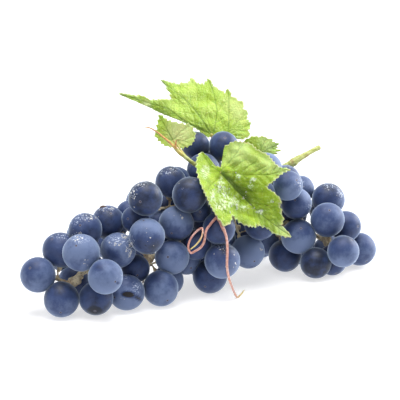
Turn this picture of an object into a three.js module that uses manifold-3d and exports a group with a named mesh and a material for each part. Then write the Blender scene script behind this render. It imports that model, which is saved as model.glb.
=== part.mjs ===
// A bunch of blue wine grapes lying on its side, with its shoot, leaves and tendrils.
// Millimetres, Z up, the surface it lies on at Z = 0. The bunch lies along X, its tip at -X
// and its wing at +X, and the side that is seen faces -Y.
import * as THREE from "three";
import { mergeVertices } from "three/addons/utils/BufferGeometryUtils.js";
import Module from "manifold-3d";

const wasm = await Module();
wasm.setup();

// How the bunch is looked at.
// Places on the seen side are given as pixels across and down, and mm back from a plane
// through the middle of the bunch square to the line of sight.
const VIEW_AZIMUTH = -26;
const VIEW_ELEVATION = 16;
const VIEW_DISTANCE = 1000;
const MM_PER_PIXEL = 0.5;
const VIEW_MIDDLE = 200;
const VIEW_TARGET = new THREE.Vector3(4.45, 5.2, 41.8);

const azimuth = THREE.MathUtils.degToRad(VIEW_AZIMUTH);
const elevation = THREE.MathUtils.degToRad(VIEW_ELEVATION);
const RIGHT = new THREE.Vector3(Math.cos(azimuth), Math.sin(azimuth), 0);
const UP = new THREE.Vector3(-Math.sin(azimuth) * Math.sin(elevation), Math.cos(azimuth) * Math.sin(elevation), Math.cos(elevation));
const AHEAD = new THREE.Vector3(-Math.sin(azimuth) * Math.cos(elevation), Math.cos(azimuth) * Math.cos(elevation), -Math.sin(elevation));

const scaleAt = (back) => MM_PER_PIXEL * (1 + back / VIEW_DISTANCE);

function seen(across, down, back) {
  const k = scaleAt(back);
  return VIEW_TARGET.clone()
    .addScaledVector(AHEAD, back)
    .addScaledVector(RIGHT, (across - VIEW_MIDDLE) * k)
    .addScaledVector(UP, (VIEW_MIDDLE - down) * k);
}
const backOf = (point) => point.clone().sub(VIEW_TARGET).dot(AHEAD);

// A seeded random number from 0 to 1, the same at every build.
function seeded(seed) {
  let state = seed >>> 0;
  return () => {
    state = (state + 0x6d2b79f5) >>> 0;
    let t = state;
    t = Math.imul(t ^ (t >>> 15), t | 1);
    t ^= t + Math.imul(t ^ (t >>> 7), t | 61);
    return ((t ^ (t >>> 14)) >>> 0) / 4294967296;
  };
}

// Solids.
const GAP = 0.3; // air left between two neighbouring pieces

function solidOf(geometry) {
  const bare = new THREE.BufferGeometry();
  bare.setAttribute("position", geometry.getAttribute("position").clone());
  if (geometry.index) bare.setIndex(geometry.index.clone());
  const merged = mergeVertices(bare, 1e-4);
  return new wasm.Manifold(new wasm.Mesh({
    numProp: 3,
    vertProperties: Float32Array.from(merged.getAttribute("position").array),
    triVerts: Uint32Array.from(merged.index.array),
  }));
}

function geometryOf(solid) {
  const mesh = solid.getMesh();
  const flat = new THREE.BufferGeometry();
  flat.setAttribute("position", new THREE.Float32BufferAttribute(mesh.vertProperties.slice(), 3));
  flat.setIndex([...mesh.triVerts]);
  const faceted = flat.toNonIndexed();
  faceted.computeVertexNormals();
  return faceted;
}

const joined = (solids) => solids.reduce((sum, solid) => sum.add(solid));

// The body a fused piece hangs together as: its largest part, without loose scrap.
function mainBody(solid) {
  return solid.decompose().reduce((best, body) => (body.volume() > best.volume() ? body : best));
}

// A closed tube along a row of points, its half thickness given at each.
function tube(points, halves, sides) {
  const position = [];
  const index = [];
  let across = new THREE.Vector3(0.31, 0.17, 0.93);
  points.forEach((point, i) => {
    const before = points[Math.max(0, i - 1)];
    const after = points[Math.min(points.length - 1, i + 1)];
    const along = after.clone().sub(before).normalize();
    across = across.clone().addScaledVector(along, -across.dot(along)).normalize();
    const other = new THREE.Vector3().crossVectors(along, across);
    for (let s = 0; s < sides; s++) {
      const turn = (2 * Math.PI * s) / sides;
      const rim = point.clone().addScaledVector(across, halves[i] * Math.cos(turn)).addScaledVector(other, halves[i] * Math.sin(turn));
      position.push(rim.x, rim.y, rim.z);
    }
  });
  for (let i = 0; i + 1 < points.length; i++) {
    for (let s = 0; s < sides; s++) {
      const a = i * sides + s;
      const b = i * sides + ((s + 1) % sides);
      index.push(a, b, a + sides, b, b + sides, a + sides);
    }
  }
  const last = (points.length - 1) * sides;
  for (let s = 1; s + 1 < sides; s++) {
    index.push(0, s + 1, s, last, last + s, last + s + 1);
  }
  const geometry = new THREE.BufferGeometry();
  geometry.setAttribute("position", new THREE.Float32BufferAttribute(position, 3));
  geometry.setIndex(index);
  return geometry;
}

// Points and half thicknesses evenly along a smooth curve through places on the seen side.
function smoothRun(places, steps) {
  const curve = new THREE.CatmullRomCurve3(places.map(([across, down, back]) => seen(across, down, back)), false, "centripetal");
  const points = [];
  const halves = [];
  for (let i = 0; i <= steps; i++) {
    const at = i / steps;
    points.push(curve.getPoint(at));
    const slot = Math.min(places.length - 2, Math.floor(at * (places.length - 1)));
    const part = at * (places.length - 1) - slot;
    halves.push(places[slot][3] + (places[slot + 1][3] - places[slot][3]) * part);
  }
  return { points, halves };
}

// The shoot and the rachis.
// Each run: across, down, back, half thickness in mm.
const SHOOT = [
  [320, 147, 30, 1.25], [306, 154.5, 27, 1.3], [295.5, 160.5, 25, 2.0], [289, 165, 25, 1.9], [274, 171, 26, 1.5],
  [255, 172, 22, 1.5], [240, 171, 10, 1.6], [228, 173, -2, 1.9], [217, 175, -11, 1.6], [204, 170.5, -16, 1.2], [192, 162.3, -18, 1.0], [182.5, 155, -19, 0.9],
];
const AXIS = [
  [228, 173, -2, 1.5], [228, 181, 4, 1.7], [224, 198, 5, 2.0], [208, 222, 1, 1.8], [182, 243, -5, 1.7], [150, 258, -14, 1.6], [121, 265, -21, 1.5],
  [101, 267, -27, 1.5], [88, 268.5, -31, 1.6], [78, 276.5, -35, 1.9], [68.5, 284, -37, 1.7],
];
const LATERALS = [
  [[224, 198, 5, 1.5], [243, 207, 13, 1.5], [274, 222, 20, 1.5], [300, 231, 24, 1.5], [316, 236, 23, 1.4], [327, 242, 22, 1.8], [332, 250, 24, 1.4], [341, 249, 29, 0.8]],
  [[208, 222, 1, 1.2], [207, 240, -3, 1.3], [211, 254, -6, 0.8]],
  [[224, 198, 5, 1.2], [234, 220, 8, 1.2], [239, 236, 7, 0.8]],
  [[208, 222, 1, 1.2], [190, 212, -8, 1.2], [168, 207, -15, 1.1], [150, 213, -20, 0.8]],
  [[150, 258, -14, 1.2], [134, 246, -19, 1.1], [116, 237, -20, 1.0], [98, 236, -24, 0.7]],
  [[101, 267, -27, 1.2], [90, 261, -29, 1.0], [76, 258, -28, 0.7]],
  [[150, 258, -14, 1.1], [147, 272, -19, 1.0], [143, 282, -24, 0.7]],
  [[88, 268.5, -31, 1.2], [90, 277, -33, 0.9], [92, 284, -34, 0.7]],
  [[68.5, 284, -37, 1.2], [62, 280.5, -39, 1.0], [57, 278, -40, 0.9]],
  [[224, 198, 5, 1.2], [217, 188, 4, 1.1], [214, 179, 6, 0.8]],
  [[300, 231, 24, 1.2], [302, 217, 22, 1.1], [298, 202, 24, 0.7]],
  [[327, 242, 22, 1.2], [330, 230, 27, 1.1], [337, 217, 32, 0.7]],
  [[182, 243, -5, 1.2], [184, 231, 4, 1.1], [178, 221, 10, 0.8]],
  [[121, 265, -21, 1.2], [116, 256, -9, 1.1], [110, 248, 0, 0.7]],
  [[274, 222, 20, 1.2], [279, 235, 28, 0.8]],
];
const runs = [AXIS, ...LATERALS].map((places) => smoothRun(places, Math.ceil(1.6 * (places.length - 1))));
const shootRun = smoothRun(SHOOT, 18);
const SHOOT_NODE = [228, 173, -2];

// The leaf stalks, from the shoot to where each blade opens.
const STALKS = {
  leaf_front: [[...SHOOT_NODE, 1.0], [225.5, 171, -9, 0.8], [220.2, 172.2, -19, 0.9]],
  leaf_back: [[238, 171, 9, 1.0], [231, 163, 14, 0.9], [217, 147, 17, 0.8], [211, 134, 15, 0.9]],
  leaf_left: [[186, 157.5, -18.5, 0.8], [181, 150.5, -15, 0.6], [177, 144, -13, 0.6], [173, 140.3, -12, 0.7]],
  leaf_right: [[255, 172, 22, 0.9], [256, 163, 21, 0.8], [259, 154, 19, 0.8]],
};
const stalkRuns = Object.fromEntries(Object.entries(STALKS).map(([name, places]) => [name, smoothRun(places, 2 * (places.length - 1))]));

// The berries.
// Those seen, the nearest first: across, down and half width in pixels, and where it says
// so how far back. A berry that bears on the surface takes its depth from that.
const SEEN = [
  { at: [38.3, 275.8], half: 17.9 }, { at: [59.9, 299.3], half: 17.9, bears: true }, { at: [106.1, 277.3], half: 17.7 },
  { at: [80.4, 252.1], half: 18.7 }, { at: [125, 292.7], half: 18, bears: true }, { at: [95.2, 299.8], half: 17.1, bears: true },
  { at: [147.2, 236.9], half: 18.2 }, { at: [117.7, 250.9], half: 17.7 }, { at: [173, 257], half: 17.4 },
  { at: [162.2, 288.3], half: 17.9, bears: true }, { at: [175.3, 223.3], half: 17.6 }, { at: [61, 249.5], half: 18 },
  { at: [85.7, 229.1], half: 16.8 }, { at: [107.5, 221], half: 16.5 }, { at: [76.5, 281], half: 16.5, back: -22, loose: true },
  { at: [190.1, 194], half: 17.6, back: -24 }, { at: [145.2, 197.5], half: 17.4 }, { at: [137.8, 219.4], half: 14, loose: true },
  { at: [222.4, 261.5], half: 18 }, { at: [208.3, 276.3], half: 17.2, bears: true }, { at: [171, 182], half: 15.5, back: -15, loose: true },
  { at: [129.2, 211.5], half: 12, loose: true }, { at: [203.6, 169.5], half: 16.7 }, { at: [134, 271], half: 14.5, loose: true },
  { at: [167, 281], half: 15.5, loose: true }, { at: [222, 228], half: 16.5, back: -15, loose: true },
  { at: [193.5, 245], half: 15.5, loose: true }, { at: [187, 257], half: 15, loose: true }, { at: [158, 220], half: 13, back: -16, loose: true },
  { at: [166, 205], half: 13, back: -8, loose: true }, { at: [198, 208], half: 12, back: -10, loose: true }, { at: [207, 222], half: 16, back: 0, loose: true },
  { at: [196, 225], half: 13, back: 2, loose: true }, { at: [174, 180], half: 15.5, loose: true }, { at: [224.4, 146.2], half: 15 },
  { at: [194.7, 145.6], half: 14.3 }, { at: [248.5, 252.3], half: 16.8 }, { at: [314.9, 264.3], half: 15.6, bears: true },
  { at: [298, 237], half: 17.5 }, { at: [284.5, 255.7], half: 16.4, bears: true }, { at: [262, 222], half: 16, back: 4, loose: true },
  { at: [252, 226], half: 15, loose: true }, { at: [288.5, 185.5], half: 15.2 }, { at: [295.8, 203], half: 15.7 },
  { at: [283, 179], half: 15.5, loose: true }, { at: [328, 219], half: 17.3 }, { at: [328.9, 198.7], half: 16.7 },
  { at: [343.9, 251.9], half: 15.9, back: 18 }, { at: [343, 225.5], half: 15.5, loose: true }, { at: [360.3, 250.6], half: 16.6, bears: true },
  { at: [332, 258], half: 15, loose: true }, { at: [298.2, 190.2], half: 14, loose: true }, { at: [325, 249], half: 14, back: 40, loose: true },
  { at: [270.8, 240.2], half: 13, loose: true },
];
// Those behind them: across, down, back, half width in mm. One that starts close over the
// surface bears on it.
const BEHIND = [
  [65, 251, -17, 8.1], [84, 236, -12, 8.2], [107, 228, -10, 8.2], [87, 268, -11, 8.0], [112, 244, 8, 8.2], [138, 239, 6, 8.3],
  [146, 221, 2, 8.2], [147, 203, -10, 8.1], [166, 241, 10, 8.4], [169, 204, 2, 8.2], [187, 205, 6, 8.2], [213, 167, 13, 8.2],
  [190, 233, 6, 8.2], [200, 263, 12, 8.1], [216, 242, 7, 8.2], [213, 213, 9, 8.0], [236, 191, 2, 8.2], [228, 186, 20, 8.2],
  [224, 227, 20, 8.2], [242, 167, 30, 8.1], [261, 170, 12, 8.3], [294, 211, 32, 8.2], [326, 213, 40, 8.2], [346, 238, 43, 8.1],
  [280, 188, 30, 8.1], [266, 244, 36, 8.0], [310, 249, 36, 7.8], [244, 205, 32, 8.3],
];
const PRESS = 1.1; // how far two touching berries are pressed together
const NECK = 1.2; // cubic mm two berries of one spray must share to count as touching
const FLAT = 0.2; // how far a berry is pressed flat on the surface
const NEARLY_BEARS = 3.5; // mm over the surface
const PLAY = 0.45; // mm a berry may shift from the place it is seen at
const LOOSE_PLAY = 1.4;
// The line the berries grow round: x and y from the middle of the view, z, and the half
// thickness of the bunch there.
const HEART = [
  [-88, 0, 20, 12], [-66, 0, 26, 20], [-40, 2, 30, 24], [-10, 4, 34, 25], [15, 6, 36, 24], [40, 6, 28, 22], [62, 2, 22, 20], [84, 0, 18, 13],
];

function heartAt(x) {
  let i = 0;
  while (i < HEART.length - 2 && x > HEART[i + 1][0]) i++;
  const part = THREE.MathUtils.clamp((x - HEART[i][0]) / (HEART[i + 1][0] - HEART[i][0]), 0, 1);
  return HEART[i].map((value, k) => value + (HEART[i + 1][k] - value) * part);
}

// How far back a seen berry lies when it sits in the near skin of the bunch.
function skinBack([across, down]) {
  let back = 0;
  for (let i = 0; i < 60; i++) {
    const point = seen(across, down, back);
    const [, y, z, half] = heartAt(point.x - VIEW_TARGET.x);
    const rise = point.z - z;
    back += (y - Math.sqrt(Math.max(0, half * half - rise * rise)) - (point.y - VIEW_TARGET.y)) * 0.6;
  }
  return back;
}

// How far back it lies when it bears on the surface.
function bearingBack([across, down], half) {
  let back = 0;
  for (let i = 0; i < 40; i++) {
    back += (seen(across, down, back).z - (half * scaleAt(back) - FLAT)) / (Math.sin(elevation) + 0.04);
  }
  return back;
}

// The berries grow until they press on each other: each is drawn to its own place, pushed
// off those it would run into, off the wood and off the surface, and drawn to near ones.
function grownBerries() {
  const berries = SEEN.map(({ at, half, bears = false, loose = false, back }) => {
    const lowest = bearingBack(at, half);
    const home = bears ? lowest : Math.min(back ?? skinBack(at), lowest);
    return { at, half, bears, lowest, home, seen: true, play: bears ? 0.8 : loose ? LOOSE_PLAY : PLAY, radius: half * scaleAt(home), centre: seen(at[0], at[1], home) };
  });
  for (const [across, down, back, radius] of BEHIND) {
    const centre = seen(across, down, back);
    berries.push({ seen: false, radius, centre, home: centre.clone(), bears: centre.z < radius + NEARLY_BEARS });
  }
  const wood = [];
  for (const { points, halves } of [...runs, shootRun, ...Object.values(stalkRuns)]) {
    points.forEach((point, i) => {
      wood.push([point, halves[i]]);
      if (i > 0) wood.push([point.clone().lerp(points[i - 1], 0.5), halves[i]]);
    });
  }
  const STEPS = 900;
  for (let step = 0; step < STEPS; step++) {
    const drawn = step < STEPS * 0.8;
    const moves = berries.map(() => new THREE.Vector3());
    for (let i = 0; i < berries.length; i++) {
      for (let j = i + 1; j < berries.length; j++) {
        const a = berries[i];
        const b = berries[j];
        const want = a.radius + b.radius - PRESS;
        const offset = b.centre.clone().sub(a.centre);
        const distance = offset.length();
        if (distance > want + 14) continue;
        const along = offset.dot(AHEAD);
        const sideways = Math.sqrt(Math.max(0, distance * distance - along * along));
        let push = 0;
        let direction = offset.clone().normalize();
        if (a.seen && b.seen && sideways < want * 0.9) {
          const short = Math.sqrt(want * want - sideways * sideways) - along;
          direction = AHEAD.clone();
          if (short > 0) push = short * 0.5;
          else if (short > -3) push = short * 0.12;
        } else if (distance < want) push = (want - distance) * 0.5;
        else if (distance < want + 3) push = (want - distance) * (drawn ? 0.12 : 0.06);
        if (push === 0) continue;
        const weightA = a.seen && a.bears ? 0.05 : 1;
        const weightB = b.seen && b.bears ? 0.05 : 1;
        moves[i].addScaledVector(direction, (-push * weightA) / (weightA + weightB));
        moves[j].addScaledVector(direction, (push * weightB) / (weightA + weightB));
      }
    }
    berries.forEach((berry, i) => {
      for (const [point, half] of wood) {
        const offset = berry.centre.clone().sub(point);
        const short = berry.radius + half + 0.4 - offset.length();
        if (short > 0) moves[i].addScaledVector(offset.normalize(), short * 0.6);
      }
      berry.centre.addScaledVector(moves[i], 0.7);
      if (berry.seen) {
        let back = backOf(berry.centre);
        if (drawn) back += (berry.home - back) * 0.015;
        if (berry.bears) back += (berry.lowest - back) * 0.5;
        back = Math.min(back, berry.lowest);
        const place = seen(berry.at[0], berry.at[1], back);
        const off = berry.centre.clone().sub(place);
        off.addScaledVector(AHEAD, -off.dot(AHEAD)).clampLength(0, berry.play);
        berry.radius = berry.half * scaleAt(back);
        berry.centre = place.add(off);
      } else if (drawn) berry.centre.lerp(berry.home, 0.01);
      berry.centre.z = !berry.seen && berry.bears ? berry.radius - FLAT : Math.max(berry.centre.z, berry.radius - FLAT);
    });
  }
  return berries;
}

const berries = grownBerries();

// The side branches, each with the places its spray starts from: across, down, back.
const SPRAYS = [
  { name: "berries_tip", from: [[60, 299, -44], [106, 277, -50]] },
  { name: "berries_left_front", from: [[118, 251, -35], [86, 229, -38], [138, 219, -29]] },
  { name: "berries_left_rear", from: [[107, 228, -10], [76, 281, -21]] },
  { name: "berries_middle_front", from: [[175, 223, -24], [162, 288, -29]] },
  { name: "berries_middle_rear", from: [[166, 241, 10], [216, 242, 7]] },
  { name: "berries_middle_low", from: [[208, 276, -10]] },
  { name: "berries_top", from: [[204, 170, -7]] },
  { name: "berries_wing_near", from: [[262, 222, -4], [248, 252, 1]] },
  { name: "berries_wing_top", from: [[261, 170, 20], [296, 203, 13]] },
  { name: "berries_wing_end", from: [[285, 256, 23], [298, 237, 12], [344, 252, 10]] },
];

// Each berry goes to the spray it is reached from first, going from berry to touching berry.
function shareOut() {
  let edge = [];
  SPRAYS.forEach(({ from }, spray) => {
    for (const place of from) {
      const start = seen(...place);
      const far = berries.map(({ centre }) => centre.distanceTo(start));
      const i = far.indexOf(Math.min(...far));
      berries[i].spray = spray;
      edge.push(i);
    }
  });
  while (edge.length) {
    const next = [];
    for (const i of edge) {
      berries.forEach((berry, j) => {
        if (berry.spray === undefined && touching(berries[i], berry)) {
          berry.spray = berries[i].spray;
          next.push(j);
        }
      });
    }
    edge = next;
  }
}

// A berry of 80 facets that holds what the ball holds, one corner straight down.
const CORNER = Math.cbrt((4 * Math.PI) / 3 / solidOf(new THREE.IcosahedronGeometry(1, 1)).volume());
const turnOf = seeded(11);
for (const berry of berries) berry.turn = turnOf() * Math.PI;

function berrySolid({ centre, radius, turn }, grown = 0) {
  const ball = new THREE.IcosahedronGeometry((radius + grown) * CORNER, 1);
  ball.rotateZ(turn);
  ball.translate(centre.x, centre.y, centre.z);
  return solidOf(ball);
}

function touching(a, b) {
  if (a.centre.distanceTo(b.centre) > a.radius + b.radius) return false;
  return berrySolid(a).intersect(berrySolid(b)).volume() > NECK;
}
shareOut();

// The ground under the bunch, which presses the lowest berries flat.
const underground = solidOf(new THREE.BoxGeometry(400, 300, 40).translate(0, 0, -20));

const sprays = SPRAYS.map(({ name }, spray) => {
  const own = berries.filter((berry) => berry.spray === spray);
  const before = berries.filter((berry) => berry.spray < spray && own.some((mine) => mine.centre.distanceTo(berry.centre) < mine.radius + berry.radius + 1));
  let solid = joined(own.map((berry) => berrySolid(berry)));
  if (before.length) solid = solid.subtract(joined(before.map((berry) => berrySolid(berry, GAP))));
  return { name, solid: solid.subtract(underground), count: own.length };
});

// The rachis with its pedicels.
const branchPoints = runs.flatMap(({ points }) => points.slice(1).flatMap((point, i) => [0.25, 0.5, 0.75, 1].map((part) => points[i].clone().lerp(point, part))));
const PEDICEL_HALF = 0.75;

// A pedicel runs from the nearest wood to its berry, bent clear of the berries between.
function pedicel(berry) {
  let best = null;
  for (const point of branchPoints) {
    const length = point.distanceTo(berry.centre) - berry.radius;
    const cost = Math.abs(length - 5) + (length < 2 ? 6 : 0);
    if (!best || cost < best.cost) best = { cost, point };
  }
  const root = best.point.clone();
  const end = berry.centre.clone().lerp(root, (berry.radius * CORNER + GAP) / berry.centre.distanceTo(root));
  const middle = root.clone().lerp(end, 0.5);
  let bent = false;
  for (let round = 0; round < 40; round++) {
    for (const other of berries) {
      if (other === berry) continue;
      const offset = middle.clone().sub(other.centre);
      const short = other.radius * CORNER + GAP + PEDICEL_HALF - offset.length();
      if (short > 0) middle.addScaledVector(offset.normalize(), short * 0.6);
      bent ||= short > 0;
    }
  }
  const run = bent ? [root, middle, end] : [root, end];
  return solidOf(tube(run, run.map((point) => PEDICEL_HALF * (point === end ? 1.4 : 1)), 3));
}

// What of a piece of wood lies outside every berry near it.
function clearOfBerries(solid) {
  const { min, max } = solid.boundingBox();
  const box = new THREE.Box3(new THREE.Vector3(...min), new THREE.Vector3(...max));
  for (const berry of berries) {
    if (box.distanceToPoint(berry.centre) > berry.radius * CORNER + GAP) continue;
    const ball = berrySolid(berry, GAP);
    if (solid.intersect(ball).volume() > 1e-3) solid = solid.subtract(ball);
  }
  return solid;
}

// The shoot, grown by the gap: what meets it stops short of it.
const shootRoom = solidOf(tube(shootRun.points, shootRun.halves.map((half) => half + GAP), 7));

const rachis = mainBody(joined([
  ...runs.map(({ points, halves }, i) => clearOfBerries(solidOf(tube(points, halves, i === 0 ? 5 : 4)))),
  ...berries.map(pedicel).filter((stem) => clearOfBerries(stem) === stem),
]).subtract(shootRoom));

const shoot = solidOf(tube(shootRun.points, shootRun.halves, 7));

// The tendrils.
const TENDRIL_LEFT = [
  [180.3, 153.3, -19.3, 0.9], [177, 150.1, -19.4, 0.95], [173, 145.6, -19.4, 0.85], [167.7, 140.7, -19, 0.8], [162.3, 136.3, -18.5, 0.7], [157.9, 132.7, -18, 0.65],
  [150.7, 128.2, -17, 0.5], [144.5, 126.9, -16, 0.4],
];
const TENDRIL_SPUR = [[177, 150.1, -19.4, 0.8], [175.4, 145.2, -20.2, 0.6], [176.6, 139.8, -20.6, 0.4]];
// From the shoot, under the front leaf, to the fork; then the two arms.
const TENDRIL_STEM = [[...SHOOT_NODE, 0.9], [226.5, 184, -14, 0.8], [222, 200, -24, 0.75], [216.4, 217.1, -32, 0.75]];
const TENDRIL_LONG = [
  [216.4, 217.1, -32, 0.75], [219.4, 220.8, -33, 0.7], [222.4, 226.8, -34, 0.75], [225.5, 234, -35, 0.65], [227, 241.4, -36, 0.65], [227.3, 253.5, -36.5, 0.65],
  [227, 265.6, -36, 0.65], [228.5, 276.5, -32, 0.65], [231.5, 285.6, -26, 0.6], [234.5, 292.9, -20.5, 0.6], [237.3, 297.1, -17.2, 0.6], [240.6, 294.7, -13.7, 0.55], [244.5, 289.8, -6.6, 0.45],
];
const TENDRIL_LOOP = [
  [216.4, 217.1, -32, 0.7], [210.3, 224.4, -33, 0.65], [206, 231, -34, 0.65], [204.2, 241.4, -35, 0.65], [200.6, 247.4, -35.5, 0.6], [195.2, 251, -36, 0.6],
  [190.9, 252.9, -36, 0.6], [188.4, 248.6, -36, 0.6], [188.8, 243.4, -35.5, 0.6], [192, 236.5, -35, 0.55], [197.6, 230.5, -34.5, 0.55], [201.8, 228, -36, 0.5],
  [202.7, 232.3, -37.5, 0.5], [200.6, 238.9, -38, 0.45], [195.8, 245, -38, 0.45], [190.5, 249.3, -38.2, 0.4],
];

// A run of thin green wood, drawn towards the viewer wherever it would run into a berry.
function overBerries({ points, halves }, room = 0.45) {
  points.forEach((point, i) => {
    for (let round = 0; round < 60; round++) {
      const short = Math.max(...berries.map(({ centre, radius }) => radius * CORNER + halves[i] + room - point.distanceTo(centre)));
      if (short <= 0) break;
      point.addScaledVector(AHEAD, -Math.max(short, 0.1) * 0.6);
    }
    point.z = Math.max(point.z, halves[i]);
  });
  return { points, halves };
}
const tendrilRuns = {
  left: smoothRun(TENDRIL_LEFT, 8), spur: smoothRun(TENDRIL_SPUR, 2),
  stem: overBerries(smoothRun(TENDRIL_STEM, 4)), long: overBerries(smoothRun(TENDRIL_LONG, 15)), loop: overBerries(smoothRun(TENDRIL_LOOP, 20)),
};
const tendrilSolid = (names) => mainBody(joined(names.map((name) => solidOf(tube(tendrilRuns[name].points, tendrilRuns[name].halves, 5)))).subtract(shootRoom).subtract(underground));
const tendrilLeft = tendrilSolid(["left", "spur"]);
const tendrilFront = tendrilSolid(["stem", "long", "loop"]);

// The leaves.
const BLADE_HALF = 0.35; // half the thickness of a blade

// Each leaf: where its stalk comes in, its rim going round from there, all as across, down,
// back; which way it gives way to the berries (-1 towards the viewer); and the vein it is
// folded along: mm that the fold lies deeper, fading over a width in pixels.
const LEAVES = {
  leaf_front: {
    gives: -1,
    fold: { from: [220.2, 172.2], to: [253, 207], deep: 4.5, wide: 9 },
    rim: [
      [211, 166.6, -20], [208.9, 161, -19], [206.8, 155.4, -18], [200.9, 152.2, -18], [197, 159, -22], [196.7, 168, -25], [199, 178.5, -29], [201.6, 185.5, -32],
      [206.8, 196.8, -33], [210.4, 205.2, -34], [216.7, 215.7, -35], [224.7, 226.2, -36], [230.7, 221.3, -32], [231.8, 213.6, -27], [240.5, 222.7, -24],
      [246, 225.2, -22], [256.3, 226.9, -19], [255.3, 224, -18], [269.3, 228.3, -14], [274.2, 233.2, -11], [286.8, 237.1, -5], [291.4, 236.4, -2],
      [281.2, 226.2, -6], [283.7, 217.8, -7], [279.8, 213.6, -9], [281.9, 212.9, -9], [278.4, 203.8, -11], [281.6, 201.7, -11], [277, 195.4, -13],
      [269.3, 190.4, -14], [265.4, 186.9, -14], [272.8, 181.3, -13], [283.3, 172.2, -10], [290.4, 169.4, -7], [279.8, 168, -9], [275.6, 164.5, -9],
      [267.9, 155.4, -9], [263.7, 152.9, -9], [256.7, 149.7, -10], [251, 144, -10], [239, 141.7, -11], [233.9, 141.7, -12], [224.4, 147.6, -13],
      [223.7, 158.2, -15], [221.6, 168, -18],
    ],
  },
  leaf_back: {
    gives: 1,
    rim: [
      [206.5, 136.5, 16], [196, 127.5, 14], [185.5, 122.3, 11], [168.6, 116.5, 7], [153, 110.7, 3], [146.5, 106, 0], [135, 101.5, -3], [119, 94, -7], [135, 98.6, -3],
      [143.6, 98, 0], [153, 101.6, 4], [162, 100, 7], [171.3, 100, 10], [170.4, 93, 10], [166, 86.5, 9], [161, 81, 8], [168.5, 82.6, 12], [174.8, 82.6, 14], [177.5, 84.4, 15], [182, 81.7, 16],
      [186, 82.2, 18], [191.8, 78.6, 20], [197.5, 82.5, 21], [203, 82, 22], [208.8, 80.2, 24], [214, 86.5, 24], [221.3, 88.8, 25], [224.5, 92.5, 25], [228.4, 90.2, 26], [232, 96.5, 25], [236.9, 98.7, 26],
      [239, 103.2, 25], [242.7, 104.5, 25], [243.6, 109.8, 24], [246.7, 113, 24], [247.2, 120, 23], [250.3, 124.6, 23], [248, 130.5, 22], [249, 135.7, 22], [241.8, 139.3, 20], [232, 136, 18], [221, 135.5, 17],
    ],
  },
  leaf_left: {
    gives: -1,
    rim: [
      [169, 146.5, -13], [163.7, 144.3, -13], [157.9, 138.9, -13], [154.7, 134.5, -13], [157.2, 129.5, -13], [157.9, 124, -13], [159, 119, -13], [159.2, 114.4, -13], [162.5, 117.2, -13],
      [166.8, 120.6, -13], [171.3, 121.9, -13], [178.4, 123.4, -12.5], [184.2, 124.6, -12], [189.6, 125, -12], [193, 130, -11.5], [195, 135.4, -11.5], [193, 142, -11.5], [190, 145.2, -12], [181.5, 147.9, -12.5],
    ],
  },
  leaf_right: {
    gives: 1,
    rim: [
      [250, 152, 20], [246, 147, 20], [243.4, 141.8, 20], [248.5, 138.6, 20], [253.2, 136.3, 21], [258.5, 137.4, 21], [263, 136.2, 22], [269.9, 138.9, 23], [279.6, 144, 24],
      [278, 147.4, 24], [281.6, 150.8, 24], [277.3, 153, 23], [279, 156.5, 22], [272, 160, 21], [266, 163.5, 20], [262, 158, 19],
    ],
  },
};

// The rim with a small tooth put on every longer side: its point a little out from the
// stalk and two thirds along.
function toothed(rim, stalk) {
  const out = [];
  rim.forEach((here, i) => {
    const next = rim[(i + 1) % rim.length];
    out.push(here);
    const side = next.clone().sub(here);
    if (i === rim.length - 1 || side.length() < 7.5) return;
    const outward = here.clone().sub(stalk).normalize();
    out.push(here.clone().addScaledVector(side, 0.62).addScaledVector(outward, 0.16 * side.length()), here.clone().addScaledVector(side, 0.72).addScaledVector(outward, -0.06 * side.length()));
  });
  return out;
}

const thinWood = [shootRun, tendrilRuns.stem].flatMap(({ points, halves }) => points.map((point, i) => ({ centre: point, radius: halves[i] })));

// Pixels across and down of a point.
function placeOf(point) {
  const off = point.clone().sub(VIEW_TARGET);
  const k = scaleAt(off.dot(AHEAD));
  return [VIEW_MIDDLE + off.dot(RIGHT) / k, VIEW_MIDDLE - off.dot(UP) / k];
}

// How much deeper a fold along a line makes a place, the most on the line itself.
function foldAt({ from, to, deep, wide }, [across, down]) {
  const run = [to[0] - from[0], to[1] - from[1]];
  const aside = Math.abs((across - from[0]) * run[1] - (down - from[1]) * run[0]) / Math.hypot(...run);
  return deep * Math.exp(-aside / wide);
}

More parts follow.
